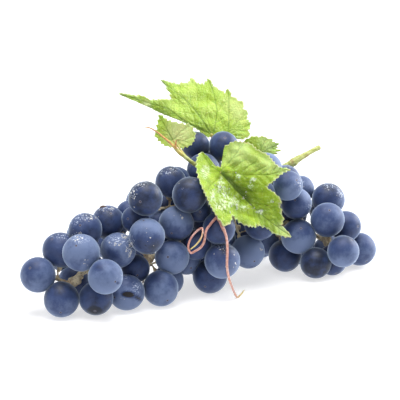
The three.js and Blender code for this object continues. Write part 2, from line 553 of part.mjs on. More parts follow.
// A blade is a fan of rings from the stalk out to the rim, the same on both faces.
function blade(name) {
  const { gives, rim, fold } = LEAVES[name];
  const { points, halves } = stalkRuns[name];
  const stalk = points[points.length - 1];
  const edge = toothed(rim.map((place) => seen(...place)), stalk);
  const RINGS = 3;
  const count = edge.length;
  const middle = [stalk.clone()];
  for (let ring = 1; ring <= RINGS; ring++) {
    for (const point of edge) middle.push(stalk.clone().lerp(point, (ring / RINGS) ** 0.85));
  }
  if (fold) for (const point of middle.slice(1)) point.addScaledVector(AHEAD, foldAt(fold, placeOf(point)));
  const home = middle.map(backOf);
  const room = BLADE_HALF + GAP + 0.5;
  const giveWay = () => {
    for (const point of middle.slice(1)) {
      for (let round = 0; round < 80; round++) {
        let short = Math.max(...berries.map(({ centre, radius }) => radius * CORNER + room - point.distanceTo(centre)));
        if (gives < 0) short = Math.max(short, ...thinWood.map(({ centre, radius }) => radius + room - 0.4 - point.distanceTo(centre)));
        if (short <= 0) break;
        point.addScaledVector(AHEAD, gives * Math.max(short, 0.1) * 0.6);
      }
    }
  };
  // Where one point has given way its neighbours follow part of the way, so that the blade
  // bends over a berry without a crease.
  const spot = (ring, k) => (ring < 0 ? 0 : 1 + ring * count + ((k + count) % count));
  const follow = () => {
    const shift = middle.map((point, i) => backOf(point) - home[i]);
    for (let ring = 0; ring < RINGS; ring++) {
      for (let k = 0; k < count; k++) {
        const near = [spot(ring, k - 1), spot(ring, k + 1), spot(ring - 1, k), ...(ring + 1 < RINGS ? [spot(ring + 1, k)] : [])];
        const mean = near.reduce((sum, i) => sum + shift[i], 0) / near.length;
        middle[spot(ring, k)].addScaledVector(AHEAD, (mean - shift[spot(ring, k)]) * 0.6);
      }
    }
  };
  for (let round = 0; round < 12; round++) {
    giveWay();
    follow();
    follow();
  }
  giveWay();
  const face = [];
  for (let k = 0; k < count; k++) {
    const next = (k + 1) % count;
    face.push([0, 1 + k, 1 + next]);
    for (let ring = 1; ring < RINGS; ring++) {
      const a = 1 + (ring - 1) * count;
      const b = a + count;
      face.push([a + k, b + k, b + next], [a + k, b + next, a + next]);
    }
  }
  // The middle of each facet and of its sides is kept clear too.
  for (let round = 0; round < 40; round++) {
    for (const corners of face) {
      const [a, b, c] = corners.map((i) => middle[i]);
      const probes = [a.clone().add(b).add(c).divideScalar(3), a.clone().lerp(b, 0.5), b.clone().lerp(c, 0.5), c.clone().lerp(a, 0.5)];
      const short = Math.max(...probes.map((probe) => Math.max(...berries.map(({ centre, radius }) => radius * CORNER + room - 0.3 - probe.distanceTo(centre)))));
      if (short > 0) for (const i of corners) if (i > 0) middle[i].addScaledVector(AHEAD, gives * Math.max(short, 0.1) * 0.4);
    }
  }
  const normals = middle.map(() => new THREE.Vector3());
  for (const [a, b, c] of face) {
    const normal = middle[b].clone().sub(middle[a]).cross(middle[c].clone().sub(middle[a]));
    for (const i of [a, b, c]) normals[i].add(normal);
  }
  const position = [];
  for (const side of [1, -1]) {
    middle.forEach((point, i) => position.push(...point.clone().addScaledVector(normals[i].clone().normalize(), side * BLADE_HALF).toArray()));
  }
  const index = face.flatMap(([a, b, c]) => [a, b, c, a + middle.length, c + middle.length, b + middle.length]);
  const rimStart = 1 + (RINGS - 1) * count;
  for (let k = 0; k < count; k++) {
    const a = rimStart + k;
    const b = rimStart + ((k + 1) % count);
    index.push(b, a, a + middle.length, b, a + middle.length, b + middle.length);
  }
  const geometry = new THREE.BufferGeometry();
  geometry.setAttribute("position", new THREE.Float32BufferAttribute(position, 3));
  geometry.setIndex(index);
  const solid = solidOf(geometry);
  return mainBody(solid.add(clearOfBerries(solidOf(tube(points, halves, 6)))).subtract(shootRoom));
}
const leaves = Object.keys(LEAVES).map((name) => ({ name, solid: blade(name) }));

// The pieces and their materials.
const SKIN = new THREE.MeshStandardMaterial({ name: "grape_skin", color: 0x3c4a78, roughness: 0.5 });
const WOOD = new THREE.MeshStandardMaterial({ name: "rachis_wood", color: 0xa88a5c, roughness: 0.8 });
const GREEN_WOOD = new THREE.MeshStandardMaterial({ name: "shoot_bark", color: 0x9aa04a, roughness: 0.6 });
const TENDRIL = new THREE.MeshStandardMaterial({ name: "tendril_skin", color: 0xd4886c, roughness: 0.5 });
const LEAF = new THREE.MeshStandardMaterial({ name: "leaf_green", color: 0x9cc455, roughness: 0.45 });

const grapes = new THREE.Group();
grapes.name = "grapes";

function addPiece(name, solid, material) {
  const mesh = new THREE.Mesh(geometryOf(solid), material);
  mesh.name = name;
  grapes.add(mesh);
}

for (const { name, solid } of sprays) addPiece(name, solid, SKIN);
addPiece("rachis", rachis, WOOD);
addPiece("shoot", shoot, GREEN_WOOD);
addPiece("tendril_left", tendrilLeft, TENDRIL);
addPiece("tendril_front", tendrilFront, TENDRIL);
for (const { name, solid } of leaves) addPiece(name, solid, LEAF);

export default grapes;
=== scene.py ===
import math

import bpy
import numpy as np
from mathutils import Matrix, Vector


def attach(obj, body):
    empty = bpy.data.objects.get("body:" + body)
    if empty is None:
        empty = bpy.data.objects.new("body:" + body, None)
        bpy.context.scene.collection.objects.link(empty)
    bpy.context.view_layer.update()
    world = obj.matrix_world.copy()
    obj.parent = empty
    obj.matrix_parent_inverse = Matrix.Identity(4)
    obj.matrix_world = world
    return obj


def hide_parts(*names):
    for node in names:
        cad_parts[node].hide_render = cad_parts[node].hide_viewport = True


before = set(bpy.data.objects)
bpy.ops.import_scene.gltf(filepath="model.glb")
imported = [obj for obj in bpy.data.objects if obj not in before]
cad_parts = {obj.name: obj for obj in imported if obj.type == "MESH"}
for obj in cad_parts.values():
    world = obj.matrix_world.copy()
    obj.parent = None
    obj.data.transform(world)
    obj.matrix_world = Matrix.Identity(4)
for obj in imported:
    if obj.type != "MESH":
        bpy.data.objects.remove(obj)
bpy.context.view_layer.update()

# The view. The camera looks at the broad side of the bunch from a little above and 1 m away.
# What is placed by a pixel of the photograph is placed through this camera: pixels across and
# down, and millimetres back from a plane through the middle of the bunch.
VIEW_AZIMUTH = math.radians(-26)
VIEW_ELEVATION = math.radians(16)
VIEW_TARGET = np.array([0.00445, 0.0052, 0.0418])
VIEW_DISTANCE = 1.0
VIEW_MIDDLE = 200
PIXEL = 0.0005
MM = 0.001
RIGHT = np.array([math.cos(VIEW_AZIMUTH), math.sin(VIEW_AZIMUTH), 0.0])
UP = np.array([-math.sin(VIEW_AZIMUTH) * math.sin(VIEW_ELEVATION),
               math.cos(VIEW_AZIMUTH) * math.sin(VIEW_ELEVATION), math.cos(VIEW_ELEVATION)])
AHEAD = np.cross(UP, RIGHT)
EYE = VIEW_TARGET - VIEW_DISTANCE * AHEAD


def seen(places):
    """Points from rows of pixels across, pixels down and millimetres back: the width of a pixel
    grows with the distance from the eye."""
    places = np.asarray(places, float)
    back = places[..., 2] * MM
    width = PIXEL * (1 + back / VIEW_DISTANCE)
    return (VIEW_TARGET + AHEAD * back[..., None]
            + RIGHT * ((places[..., 0] - VIEW_MIDDLE) * width)[..., None]
            + UP * ((VIEW_MIDDLE - places[..., 1]) * width)[..., None])


def places_of(points):
    """The reverse of seen: pixels across, pixels down and millimetres back of each point."""
    off = points - VIEW_TARGET
    back = off @ AHEAD
    width = PIXEL * (1 + back / VIEW_DISTANCE)
    across, down = VIEW_MIDDLE + off @ RIGHT / width, VIEW_MIDDLE - off @ UP / width
    return np.stack([across, down, back / MM], -1)


camera_data = bpy.data.cameras.new("camera")
camera_data.sensor_width = 36
camera_data.lens = camera_data.sensor_width * VIEW_DISTANCE / (2 * VIEW_MIDDLE * PIXEL)
camera_data.clip_start = 0.05
camera = bpy.data.objects.new("camera", camera_data)
camera.location = Vector(EYE)
camera.rotation_euler = Vector(AHEAD).to_track_quat("-Z", "Y").to_euler()
bpy.context.scene.collection.objects.link(camera)
bpy.context.scene.camera = camera

# The berries: round fruit with a thin tough skin under a dull pale bloom of wax. Each hangs on
# its pedicel and is pressed flat where it meets a neighbour. The CAD node of a spray has them
# fused as balls of 80 facets, and each berry here takes the place and size of its ball.
SPRAYS = ["berries_tip", "berries_left_front", "berries_left_rear", "berries_middle_front",
          "berries_middle_rear", "berries_middle_low", "berries_top", "berries_wing_near",
          "berries_wing_top", "berries_wing_end"]
CORNER = 1.0461327  # a facet ball's corner distance over the radius of a sphere of its volume
SMALLEST, LARGEST = 5.5 * MM, 11.5 * MM
ON_BALL = 8e-6
FEWEST_CORNERS = 8
APART = 7 * MM  # the least between the middles of two berries
MERGED = 1e-6  # m, corners closer than this are one
TOO_FLAT = 1e-10  # m3, four corners that are this flat give no sphere
NOWHERE = np.full((1, 3), 9.0)  # m, a place far from every berry


def corners_of(node):
    """The merged corners of a CAD node, and its triangles as numbers into them."""
    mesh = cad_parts[node].data
    co = np.empty(len(mesh.vertices) * 3)
    mesh.vertices.foreach_get("co", co)
    triangles = np.empty(len(mesh.loops), int)
    mesh.loops.foreach_get("vertex_index", triangles)
    grid = np.round(co.reshape(-1, 3) / MERGED).astype(np.int64)
    _, first, number = np.unique(grid, axis=0, return_index=True, return_inverse=True)
    return co.reshape(-1, 3)[first], number.reshape(-1)[triangles].reshape(-1, 3)


def balls_in(node):
    """Centres and radii of the balls fused in a node. A sphere goes through the four corners of
    any two triangles that share a side, and the spheres that hold the most corners of the node
    are its balls."""
    corners, triangles = corners_of(node)
    sides = np.concatenate([triangles[:, [0, 1]], triangles[:, [1, 2]], triangles[:, [2, 0]]])
    sides = np.sort(sides, axis=1)
    far = np.concatenate([triangles[:, 2], triangles[:, 0], triangles[:, 1]])
    order = np.lexsort((sides[:, 1], sides[:, 0]))
    sides, far = sides[order], far[order]
    pair = np.nonzero((sides[1:] == sides[:-1]).all(axis=1))[0]
    four = corners[np.stack([sides[pair, 0], sides[pair, 1], far[pair], far[pair + 1]], 1)]
    spread = 2 * (four[:, 1:] - four[:, :1])
    solid = np.abs(np.linalg.det(spread)) > TOO_FLAT
    four, spread = four[solid], spread[solid]
    reach = (four[:, 1:] ** 2).sum(-1) - (four[:, :1] ** 2).sum(-1)
    centres = np.linalg.solve(spread, reach[..., None])[..., 0]
    radii = np.linalg.norm(four[:, 0] - centres, axis=1)
    right_size = (radii > SMALLEST) & (radii < LARGEST)
    centres, radii = centres[right_size], radii[right_size]
    off = np.abs(np.linalg.norm(corners[None] - centres[:, None], axis=2) - radii[:, None])
    held = (off < ON_BALL).sum(axis=1)
    found = []
    for i in np.argsort(-held):
        if held[i] < FEWEST_CORNERS:
            break
        if all(np.linalg.norm(centres[i] - centres[j]) > APART for j in found):
            found.append(i)
    return centres[found], radii[found] / CORNER


balls = []
for node in SPRAYS:
    centres, radii = balls_in(node)
    # A spray is cut clear of the sprays before it by their own balls, which must not count twice.
    before = np.concatenate([other for other, _ in balls]) if balls else NOWHERE
    own = np.linalg.norm(centres[:, None] - before[None], axis=2).min(axis=1) > APART
    balls.append((centres[own], radii[own]))
CENTRES = np.concatenate([centres for centres, _ in balls])
RADII = np.concatenate([radii for _, radii in balls])
SPRAY_OF = np.concatenate([np.full(len(radii), i) for i, (_, radii) in enumerate(balls)])

# Where the scar left by the flower shows on a berry that faces the viewer, in pixels.
SCARS = [(52, 239), (76, 245.6), (95, 311), (143.5, 220), (195, 180), (168, 257), (225, 138),
         (329.5, 210), (297, 180), (295, 200), (334.6, 186), (301, 228), (30, 268), (181, 292),
         (222, 249), (252, 268), (309, 275), (352, 240), (367, 262), (131, 246), (111, 213),
         (205, 287)]


def met(pixels):
    """The berry that the line of sight through each pixel meets first, or -1, and the point where
    it meets it."""
    ends = seen(np.column_stack([pixels, np.zeros(len(pixels))]))
    ray = (ends - EYE) / np.linalg.norm(ends - EYE, axis=1)[:, None]
    off = CENTRES - EYE
    along = ray @ off.T
    aside = (off ** 2).sum(1)[None] - along ** 2
    near = np.where(aside < RADII ** 2, along - np.sqrt(np.maximum(RADII ** 2 - aside, 0)), np.inf)
    berry = near.argmin(axis=1)
    first = near[np.arange(len(near)), berry]
    hit = np.isfinite(first)
    return np.where(hit, berry, -1), EYE + ray * np.where(hit, first, VIEW_DISTANCE)[:, None]


# A berry's stem comes from the nearest wood, and its flower scar lies about opposite the stem.
LEAN = 0.22
wood_corners, wood_triangles = corners_of("rachis")
to_wood = wood_corners[None] - CENTRES[:, None]
nearest = np.linalg.norm(to_wood, axis=2).argmin(axis=1)
STEM_POINT = wood_corners[nearest]
STEM = STEM_POINT - CENTRES
STEM /= np.linalg.norm(STEM, axis=1)[:, None]
FLOWER = -STEM + np.random.default_rng(7).normal(0, LEAN, STEM.shape)
berry, place = met(np.array(SCARS))
FLOWER[berry[berry >= 0]] = (place - CENTRES[berry])[berry >= 0]
FLOWER /= np.linalg.norm(FLOWER, axis=1)[:, None]

AROUND, DOWN = 52, 40  # vertices on a ring, and steps down to the one at the stem's end
PER_BERRY = 1 + AROUND * (DOWN - 1) + 1
CLOSER_AT_POLES = 0.09
SIDEWAYS = [0.3, 0.5, 0.81]  # a direction that no pole or stem has
UNEVEN, WAVE_PEAK, WAVES = 0.011, 1.7, 1.9
ANY_PHASE = 6.3  # radians, about a full turn
LONG_LEAST, LONG_MOST = -0.015, 0.035  # how much longer than wide, over the radius
FLOWER_DIMPLE, FLOWER_WIDE = 0.22 * MM, 0.16  # a dimple's depth, and its half width in radians
STEM_DIMPLE, STEM_WIDE = 0.5 * MM, 0.24
CONTACT, NEARLY = 0.02 * MM, 0.3 * MM


def ring_about(way, sides):
    """Directions evenly round a way, square to it."""
    across = np.cross(way, SIDEWAYS)
    across /= np.linalg.norm(across)
    turn = np.arange(sides) / sides * 2 * math.pi
    return np.cos(turn)[:, None] * across + np.sin(turn)[:, None] * np.cross(way, across)


def ring_faces(rings, around, first):
    """Four-sided faces between each ring of vertices and the next, numbered from first on."""
    k = np.arange(around)
    after = (k + 1) % around
    base = first + np.arange(rings - 1)[:, None] * around
    quads = np.stack([base + k, base + around + k, base + around + after, base + after], -1)
    return quads.reshape(-1, 4)


def fan(tip, around, first):
    """Three-sided faces from a tip to each side of the ring that starts at a vertex."""
    k = np.arange(around)
    return np.stack([np.full(around, tip), first + k, first + (k + 1) % around], -1)


def berry_faces(first):
    """The faces of a berry, whose vertices are a pole, rings of them and one at the other end."""
    last = 1 + (DOWN - 1) * AROUND
    end = fan(last, AROUND, last - AROUND)[:, [0, 2, 1]]
    return ((ring_faces(DOWN - 1, AROUND, 1) + first).tolist()
            + (fan(0, AROUND, 1) + first).tolist() + (end + first).tolist())


def berry_points(i):
    """A sphere about the flower scar's pole, made uneven by three slow waves, dimpled at the scar
    and at the pedicel, and cut back to the plane where it meets each neighbour and the surface.
    Returns its points and how far along the skin, in mm, each lies from the scar and the stem."""
    step = np.arange(1, DOWN + 1) / (DOWN + 1)
    polar = math.pi * (step - CLOSER_AT_POLES * np.sin(2 * math.pi * step))
    pole = FLOWER[i]
    rings = (np.cos(polar)[:, None, None] * pole
             + np.sin(polar)[:, None, None] * ring_about(pole, AROUND))
    # Of the last ring one vertex is taken, which closes the berry under the stem's cushion.
    way = np.concatenate([pole[None], rings.reshape(-1, 3)])[:PER_BERRY]
    angle = np.concatenate([[0.0], np.repeat(polar, AROUND)])[:PER_BERRY]
    rng = np.random.default_rng(100 + i)
    waves = rng.normal(0, WAVES, (3, 3))
    uneven = np.sin(way @ waves.T + rng.uniform(0, ANY_PHASE, 3)).sum(axis=1) * UNEVEN / WAVE_PEAK
    long_way = rng.uniform(LONG_LEAST, LONG_MOST) * (way @ pole) ** 2
    stem_angle = np.arccos(np.clip(way @ STEM[i], -1, 1))
    length = (RADII[i] * (1 + uneven + long_way)
              - FLOWER_DIMPLE * np.exp(-(angle / FLOWER_WIDE) ** 2)
              - STEM_DIMPLE * np.exp(-(stem_angle / STEM_WIDE) ** 2))
    points = CENTRES[i] + way * length[:, None]
    gaps = np.linalg.norm(CENTRES - CENTRES[i], axis=1)
    for j in np.nonzero((gaps > 0) & (gaps < RADII + RADII[i] + NEARLY))[0]:
        to = (CENTRES[j] - CENTRES[i]) / gaps[j]
        plane = (gaps[j] ** 2 + RADII[i] ** 2 - RADII[j] ** 2) / (2 * gaps[j]) - CONTACT
        past = np.maximum((points - CENTRES[i]) @ to - plane, 0)
        points -= past[:, None] * to
    points[:, 2] = np.maximum(points[:, 2], 0)
    return points, angle * RADII[i] / MM, stem_angle * RADII[i] / MM


def attribute(mesh, name, values):
    """Writes one number a vertex into the mesh under a name that a material can read."""
    values = np.asarray(values, np.float32)
    mesh.attributes.new(name, "FLOAT", "POINT").data.foreach_set("value", values)


def piece(name, points, faces, material, node=None):
    """A smooth mesh object at the origin from points and faces, riding on the one body."""
    mesh = bpy.data.meshes.new(name)
    mesh.from_pydata(np.asarray(points).tolist(), [], faces)
    mesh.validate()
    mesh.shade_smooth()
    mesh.materials.append(material)
    made = bpy.data.objects.new(name, mesh)
    bpy.context.scene.collection.objects.link(made)
    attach(made, "root")
    if node:
        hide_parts(node)
    return made


RANGE = ("From Min", "From Max", "To Min", "To Max")


class Nodes:
    """A material and short ways to add nodes to it and to link them."""

    def __init__(self, name):
        self.material = bpy.data.materials.new(name)
        self.material.use_nodes = True
        self.tree = self.material.node_tree
        self.shader = next(n for n in self.tree.nodes if n.type == "BSDF_PRINCIPLED")
        self.place = self.tree.nodes.new("ShaderNodeTexCoord").outputs["Object"]

    def link(self, source, socket):
        """Joins an output to an input."""
        self.tree.links.new(source, socket)

    def read(self, name):
        """The number that each vertex holds under a name."""
        node = self.tree.nodes.new("ShaderNodeAttribute")
        node.attribute_name = name
        return node.outputs["Fac"]

    def noise(self, size, detail=3.0, rough=0.55, stretch=None):
        """Clouds between 0 and 1, about size metres wide, or longer where stretch is below 1."""
        node = self.tree.nodes.new("ShaderNodeTexNoise")
        node.inputs["Scale"].default_value = 1 / size
        node.inputs["Detail"].default_value = detail
        node.inputs["Roughness"].default_value = rough
        source = self.place
        if stretch:
            mapping = self.tree.nodes.new("ShaderNodeMapping")
            mapping.inputs["Scale"].default_value = stretch
            self.link(self.place, mapping.inputs["Vector"])
            source = mapping.outputs["Vector"]
        self.link(source, node.inputs["Vector"])
        return node.outputs["Fac"]

    def math(self, kind, a, b, clamp=False):
        """The sum, difference or product of two numbers or outputs, kept to 0 to 1 if clamped."""
        node = self.tree.nodes.new("ShaderNodeMath")
        node.operation = kind
        node.use_clamp = clamp
        for value, socket in ((a, node.inputs[0]), (b, node.inputs[1])):
            if isinstance(value, (int, float)):
                socket.default_value = value
            else:
                self.link(value, socket)
        return node.outputs[0]

    def between(self, value, low, high, to_low=0.0, to_high=1.0):
        """Takes low to to_low and high to to_high, along a smooth step between them."""
        node = self.tree.nodes.new("ShaderNodeMapRange")
        node.interpolation_type = "SMOOTHSTEP"
        for name, number in zip(RANGE, (low, high, to_low, to_high)):
            node.inputs[name].default_value = number
        self.link(value, node.inputs["Value"])
        return node.outputs["Result"]

    def mix(self, factor, a, b):
        """Colour a where the factor is 0, colour b where it is 1."""
        node = self.tree.nodes.new("ShaderNodeMix")
        node.data_type = "RGBA"
        colours = [s for s in node.inputs if s.type == "RGBA"]
        self.link(factor, node.inputs[0])
        for value, socket in ((a, colours[0]), (b, colours[1])):
            if isinstance(value, tuple):
                socket.default_value = (*value, 1)
            else:
                self.link(value, socket)
        return next(s for s in node.outputs if s.type == "RGBA")

    def bump(self, height, depth):
        """Lights the surface as if it stood up by depth metres where the height is 1."""
        node = self.tree.nodes.new("ShaderNodeBump")
        node.inputs["Distance"].default_value = depth
        node.inputs["Strength"].default_value = 1.0
        self.link(height, node.inputs["Height"])
        self.link(node.outputs["Normal"], self.shader.inputs["Normal"])

    def set(self, **numbers):
        """Plain numbers for the shader's sockets, named with _ for a space."""
        for name, number in numbers.items():
            self.shader.inputs[name.replace("_", " ")].default_value = number


# The skin: blue-black, and where the bloom lies on it a matt grey blue. The bloom is thin in
# broad clouds, rubbed off in small flecks, and speckled, and it is thickened or thinned from berry
# to berry and on the upper side as painted light and shade. The flower scar is a brown dot in a
# paler ring, and the skin is brown round the pedicel. Where fine water stands, its glint is painted
# on in white.
BARE_SKIN, BLOOM, FULL_BLOOM = (0.004, 0.008, 0.024), (0.028, 0.050, 0.142), (0.112, 0.156, 0.284)
DRIED_SKIN, STEM_BROWN, MIST_GLINT_WHITE = (0.007, 0.005, 0.006), (0.05, 0.03, 0.02), (0.60, 0.67, 0.80)
SCAR_BROWN, SCAR_RING = (0.030, 0.018, 0.016), (0.17, 0.17, 0.24)
SHEEN_BLUE = (0.66, 0.80, 1.0, 1)
BLOOM_AND_LIGHT_SHARE = 0.30  # how much of the bloom, and of the painted light and shade carried with it, varies from berry to berry
SPECKLE_SHARE = 0.22
skin = Nodes("grape_skin")
clouds = skin.noise(7 * MM, detail=3, rough=0.6)
flecks = skin.noise(1.6 * MM, detail=4, rough=0.65)
speckle = skin.noise(0.35 * MM, detail=2, rough=0.5)
# The tint holds each berry's bloom together with painted light and shade, so what follows mixes
# both into the colour.
own_bloom_and_light = skin.math("MULTIPLY", skin.read("tint"), BLOOM_AND_LIGHT_SHARE)
dust_and_painted_light = skin.math("ADD", skin.between(clouds, 0.25, 0.75, 0.38, 0.82), own_bloom_and_light)
dust_and_painted_light = skin.math("SUBTRACT", dust_and_painted_light, skin.between(flecks, 0.60, 0.78, 0.0, 0.30))
grain = skin.math("MULTIPLY", skin.math("SUBTRACT", speckle, 0.5), SPECKLE_SHARE)
dust_and_painted_light = skin.math("ADD", dust_and_painted_light, grain, clamp=True)
rubbed = skin.read("rubbed")
dust_and_painted_light = skin.math("SUBTRACT", dust_and_painted_light, rubbed, clamp=True)
colour = skin.mix(skin.between(dust_and_painted_light, 0.0, 0.55), BARE_SKIN, BLOOM)
colour = skin.mix(skin.between(dust_and_painted_light, 0.45, 1.0), colour, FULL_BLOOM)
colour = skin.mix(skin.between(rubbed, 0.55, 0.9), colour, DRIED_SKIN)
scar = skin.read("scar")
colour = skin.mix(skin.between(scar, 0.45, 0.85, 0.75, 0.0), colour, SCAR_RING)
colour = skin.mix(skin.between(scar, 0.30, 0.48, 1.0, 0.0), colour, SCAR_BROWN)
colour = skin.mix(skin.between(skin.read("stem"), 0.9, 2.2, 1.0, 0.0), colour, STEM_BROWN)
# The white of the fine water beads is a painted glint of light, laid on where the mist stands.
beads = skin.between(skin.noise(0.9 * MM, detail=3, rough=0.7), 0.53, 0.64)
mist_glint = skin.math("MULTIPLY", beads, skin.between(skin.read("mist_glint"), 0.2, 0.9, 0.0, 0.75))
colour = skin.mix(mist_glint, colour, MIST_GLINT_WHITE)
skin.link(colour, skin.shader.inputs["Base Color"])
skin.link(skin.between(dust_and_painted_light, 0.0, 0.9, 0.47, 0.60), skin.shader.inputs["Roughness"])
skin.set(Sheen_Weight=0.9, Sheen_Roughness=0.35, Specular_IOR_Level=0.36)
skin.shader.inputs["Sheen Tint"].default_value = SHEEN_BLUE
skin.bump(skin.math("ADD", flecks, speckle), 0.03 * MM)

# How thick the bloom is on berries that face the viewer, partly real bloom and partly painted
# light and shade that lightens or darkens the whole berry: across, down, from -1.5 bare to 3 thick,
# and how much thicker it is at the upper side, which paints that side lighter where it is above 0
# and darker where it is below. On the others it is random.
SHOWN_BLOOM_AND_LIGHT = [(38, 275, 0.15, -0.6), (80, 252, 0.8, 0.2), (60, 299, -0.4, -1.2),
               (106, 270, 1, -0.9), (85, 300, -0.75, 0), (117, 292, 0.75, -1.2),
               (147, 236, 0.05, 1.7), (117, 250, 0.6, 0), (173, 257, 0.8, -1.2),
               (162, 288, 0.35, -0.7), (175, 223, 0.6, 2), (190, 200, -1.5, 0),
               (145, 197, -1.2, -0.6), (215, 262, 0.1, -2), (208, 284, -0.65, -0.5),
               (225, 140, -0.5, 0), (194, 145, -1.1, 0), (248, 252, 3, 3), (315, 268, -1.5, 0),
               (298, 237, 0.6, -2), (286, 262, -0.8, 0), (288, 181, 0.5, -1.3), (294, 208, 0.1, 1),
               (329, 190, -0.2, -1.6), (330, 222, -0.25, 0.2), (344, 252, 0.15, -1.6),
               (368, 252, 0, -0.4), (352, 226, -0.6, 0), (61, 240, -0.1, -0.5), (86, 222, -0.6, 0),
               (107, 216, -0.7, 0), (172, 186, -0.7, -0.5)]
# Spots where the bloom is off: across, down, half width and half height in pixels, how far the
# spot is turned, and how bare it is. The first two are a split in the skin and its dried edge.
RUBBED = [(128.3, 294.5, 8.5, 3.8, 0.1, 1.4), (138.5, 298.5, 7.0, 2.6, 0.55, 0.85),
          (94.5, 311, 8.5, 6, 0.0, 0.75), (99, 268, 7, 4, 0.4, 0.3), (140, 214, 9, 5, 0.3, 0.3),
          (113, 253, 8, 6, 0.4, 0.35), (118, 283, 2.5, 2, 0.0, 0.5)]
SPOT_RISE = 1.6  # how fast a spot comes up from its edge, where it is 0
MIST_BACK = 30  # mm, how far back a mist of water reaches
MIST_UP = 0.25  # how far over its upper edge a berry holds the mist
# Where the mist stands on the berries, its white a painted glint of light in the fine water:
# across, down, half width and half height in pixels.
MIST = [(85, 216, 13, 5), (74, 222, 6, 5), (107, 208, 11, 4), (116, 240, 12, 6),
        (131, 247, 4.5, 12), (133, 192, 4.5, 9), (140, 184, 9, 3.5), (163, 172, 7, 4),
        (171, 169, 9, 3.5), (283, 168, 11, 4), (300, 184, 5, 8), (80, 239, 12, 5),
        (341, 192, 4.5, 8), (311, 207, 6, 5), (60, 236, 12, 3.5), (136, 288, 5, 7),
        (124, 277, 8, 3), (224, 246, 10, 4), (330, 186, 9, 4)]


def wet_glint_spots(flat, places):
    """How wet each place is, and so how strongly the painted glint of its water shows, from 0 to 1:
    the sum of soft round spots, each given as across, down, half width and half height in pixels."""
    wet_glint = np.zeros(len(flat))
    for across, down, wide, high in places:
        wet_glint += np.exp(-((flat[:, 0] - across) / wide) ** 2 - ((flat[:, 1] - down) / high) ** 2)
    return np.clip(wet_glint, 0, 1)


# Each berry's bloom, random for most. On the berries listed above it also holds painted light and
# shade for the whole berry, and more for its upper side.
bloom_and_light = np.random.default_rng(900).uniform(-1, 1, len(CENTRES))
painted_upper_light = np.zeros(len(CENTRES))
for across, down, thick, upper in SHOWN_BLOOM_AND_LIGHT:
    owner = met(np.array([[across, down]]))[0][0]
    if owner >= 0:
        bloom_and_light[owner], painted_upper_light[owner] = thick, upper
rubbed_owner, _ = met(np.array(RUBBED)[:, :2])
for number, node in enumerate(SPRAYS):
    shown = np.nonzero(SPRAY_OF == number)[0]
    points, scars, stems = (np.concatenate(part) for part in zip(*map(berry_points, shown)))
    faces = sum((berry_faces(i * PER_BERRY) for i in range(len(shown))), [])
    spray = piece(node.replace("berries", "grapes"), points, faces, skin.material, node)
    attribute(spray.data, "scar", scars)
    attribute(spray.data, "stem", stems)
    berry = np.repeat(shown, PER_BERRY)
    normal = (points - CENTRES[berry]) / RADII[berry][:, None]
    # The tint: the bloom with its painted light and shade, the upper side painted lighter or darker
    # by its own share.
    attribute(spray.data, "tint", bloom_and_light[berry] + painted_upper_light[berry] * (normal @ UP))
    flat = places_of(points)
    bare = np.zeros(len(points))
    for (across, down, wide, high, turned, share), owner in zip(RUBBED, rubbed_owner):
        part = (berry == owner) & (normal @ AHEAD < 0)
        x, y = flat[part, 0] - across, flat[part, 1] - down
        u = (x * math.cos(turned) + y * math.sin(turned)) / wide
        v = (-x * math.sin(turned) + y * math.cos(turned)) / high
        spot = share * np.clip(SPOT_RISE - SPOT_RISE * np.hypot(u, v), 0, 1)
        bare[part] = np.maximum(bare[part], spot)
    attribute(spray.data, "rubbed", bare)
    # The mist's painted glint is kept to the sides of the berries that face the viewer, a little
    # over their tops, and to berries near the front.
    open_to_it = (normal @ AHEAD < MIST_UP * normal @ UP) & (flat[:, 2] < MIST_BACK)
    attribute(spray.data, "mist_glint", wet_glint_spots(flat, MIST) * open_to_it)

# The rachis: the stalk of the bunch, beige and corky where it is thick and browner in its thin
# ends, with a small warty cushion at the end of each pedicel where the berry sits. The CAD node
# gives its run; it is grown together with the cushions, smoothed and given its bark.
VOXEL = 0.42 * MM
SMOOTHINGS = 7
TOO_FAR = 3.5 * MM  # a berry farther than this from the wood gets no pedicel
CUSHION_HALF, PEDICEL_HALF = 1.35 * MM, 0.72 * MM
CUSHION_SIDES = 10
SEAT_WIDER, FOOT_NARROWER = 1.05, 0.6  # over the cushion's half thickness
ROOT_OUT, CUSHION_HIGH = 1.2, 0.7  # mm
SUNK = 0.35 * MM
# Corky knots where side stalks leave or were lost: across, down, back, and half thickness in mm.
KNOTS = [(68.5, 285, -38, 1.9), (73, 283.5, -38.5, 2.3), (77.5, 280.5, -38, 2.2),
         (71, 280, -36.5, 1.5), (80, 276, -35.5, 1.9), (327.5, 240, 20.5, 2.2),
         (329.5, 247, 21.5, 2.0), (325, 236, 22, 1.5), (150, 260, -15, 2.0)]
KNOT_RINGS, KNOT_END = 6, 1.2  # the last ring's angle from the level one, in radians
# The bark is craggy: every point is moved along x, y and z by slow waves of its place.
CRAG, CRAG_LONG = 0.17 * MM, 2.2 * MM


def grown_together(points, faces, size):
    """One closed surface round overlapping closed solids, as even four-sided faces of a size."""
    mesh = bpy.data.meshes.new("overlapping")
    mesh.from_pydata(points.tolist(), [], faces)
    whole = bpy.data.objects.new("overlapping", mesh)
    bpy.context.scene.collection.objects.link(whole)
    remesh = whole.modifiers.new("skin", "REMESH")
    remesh.mode = "VOXEL"
    remesh.voxel_size = size
    result = whole.evaluated_get(bpy.context.evaluated_depsgraph_get()).to_mesh()
    out = np.empty(len(result.vertices) * 3)
    result.vertices.foreach_get("co", out)
    own_faces = [tuple(p.vertices) for p in result.polygons]
    sides = np.array([e.vertices[:] for e in result.edges])
    whole.to_mesh_clear()
    bpy.data.objects.remove(whole)
    return out.reshape(-1, 3), own_faces, sides


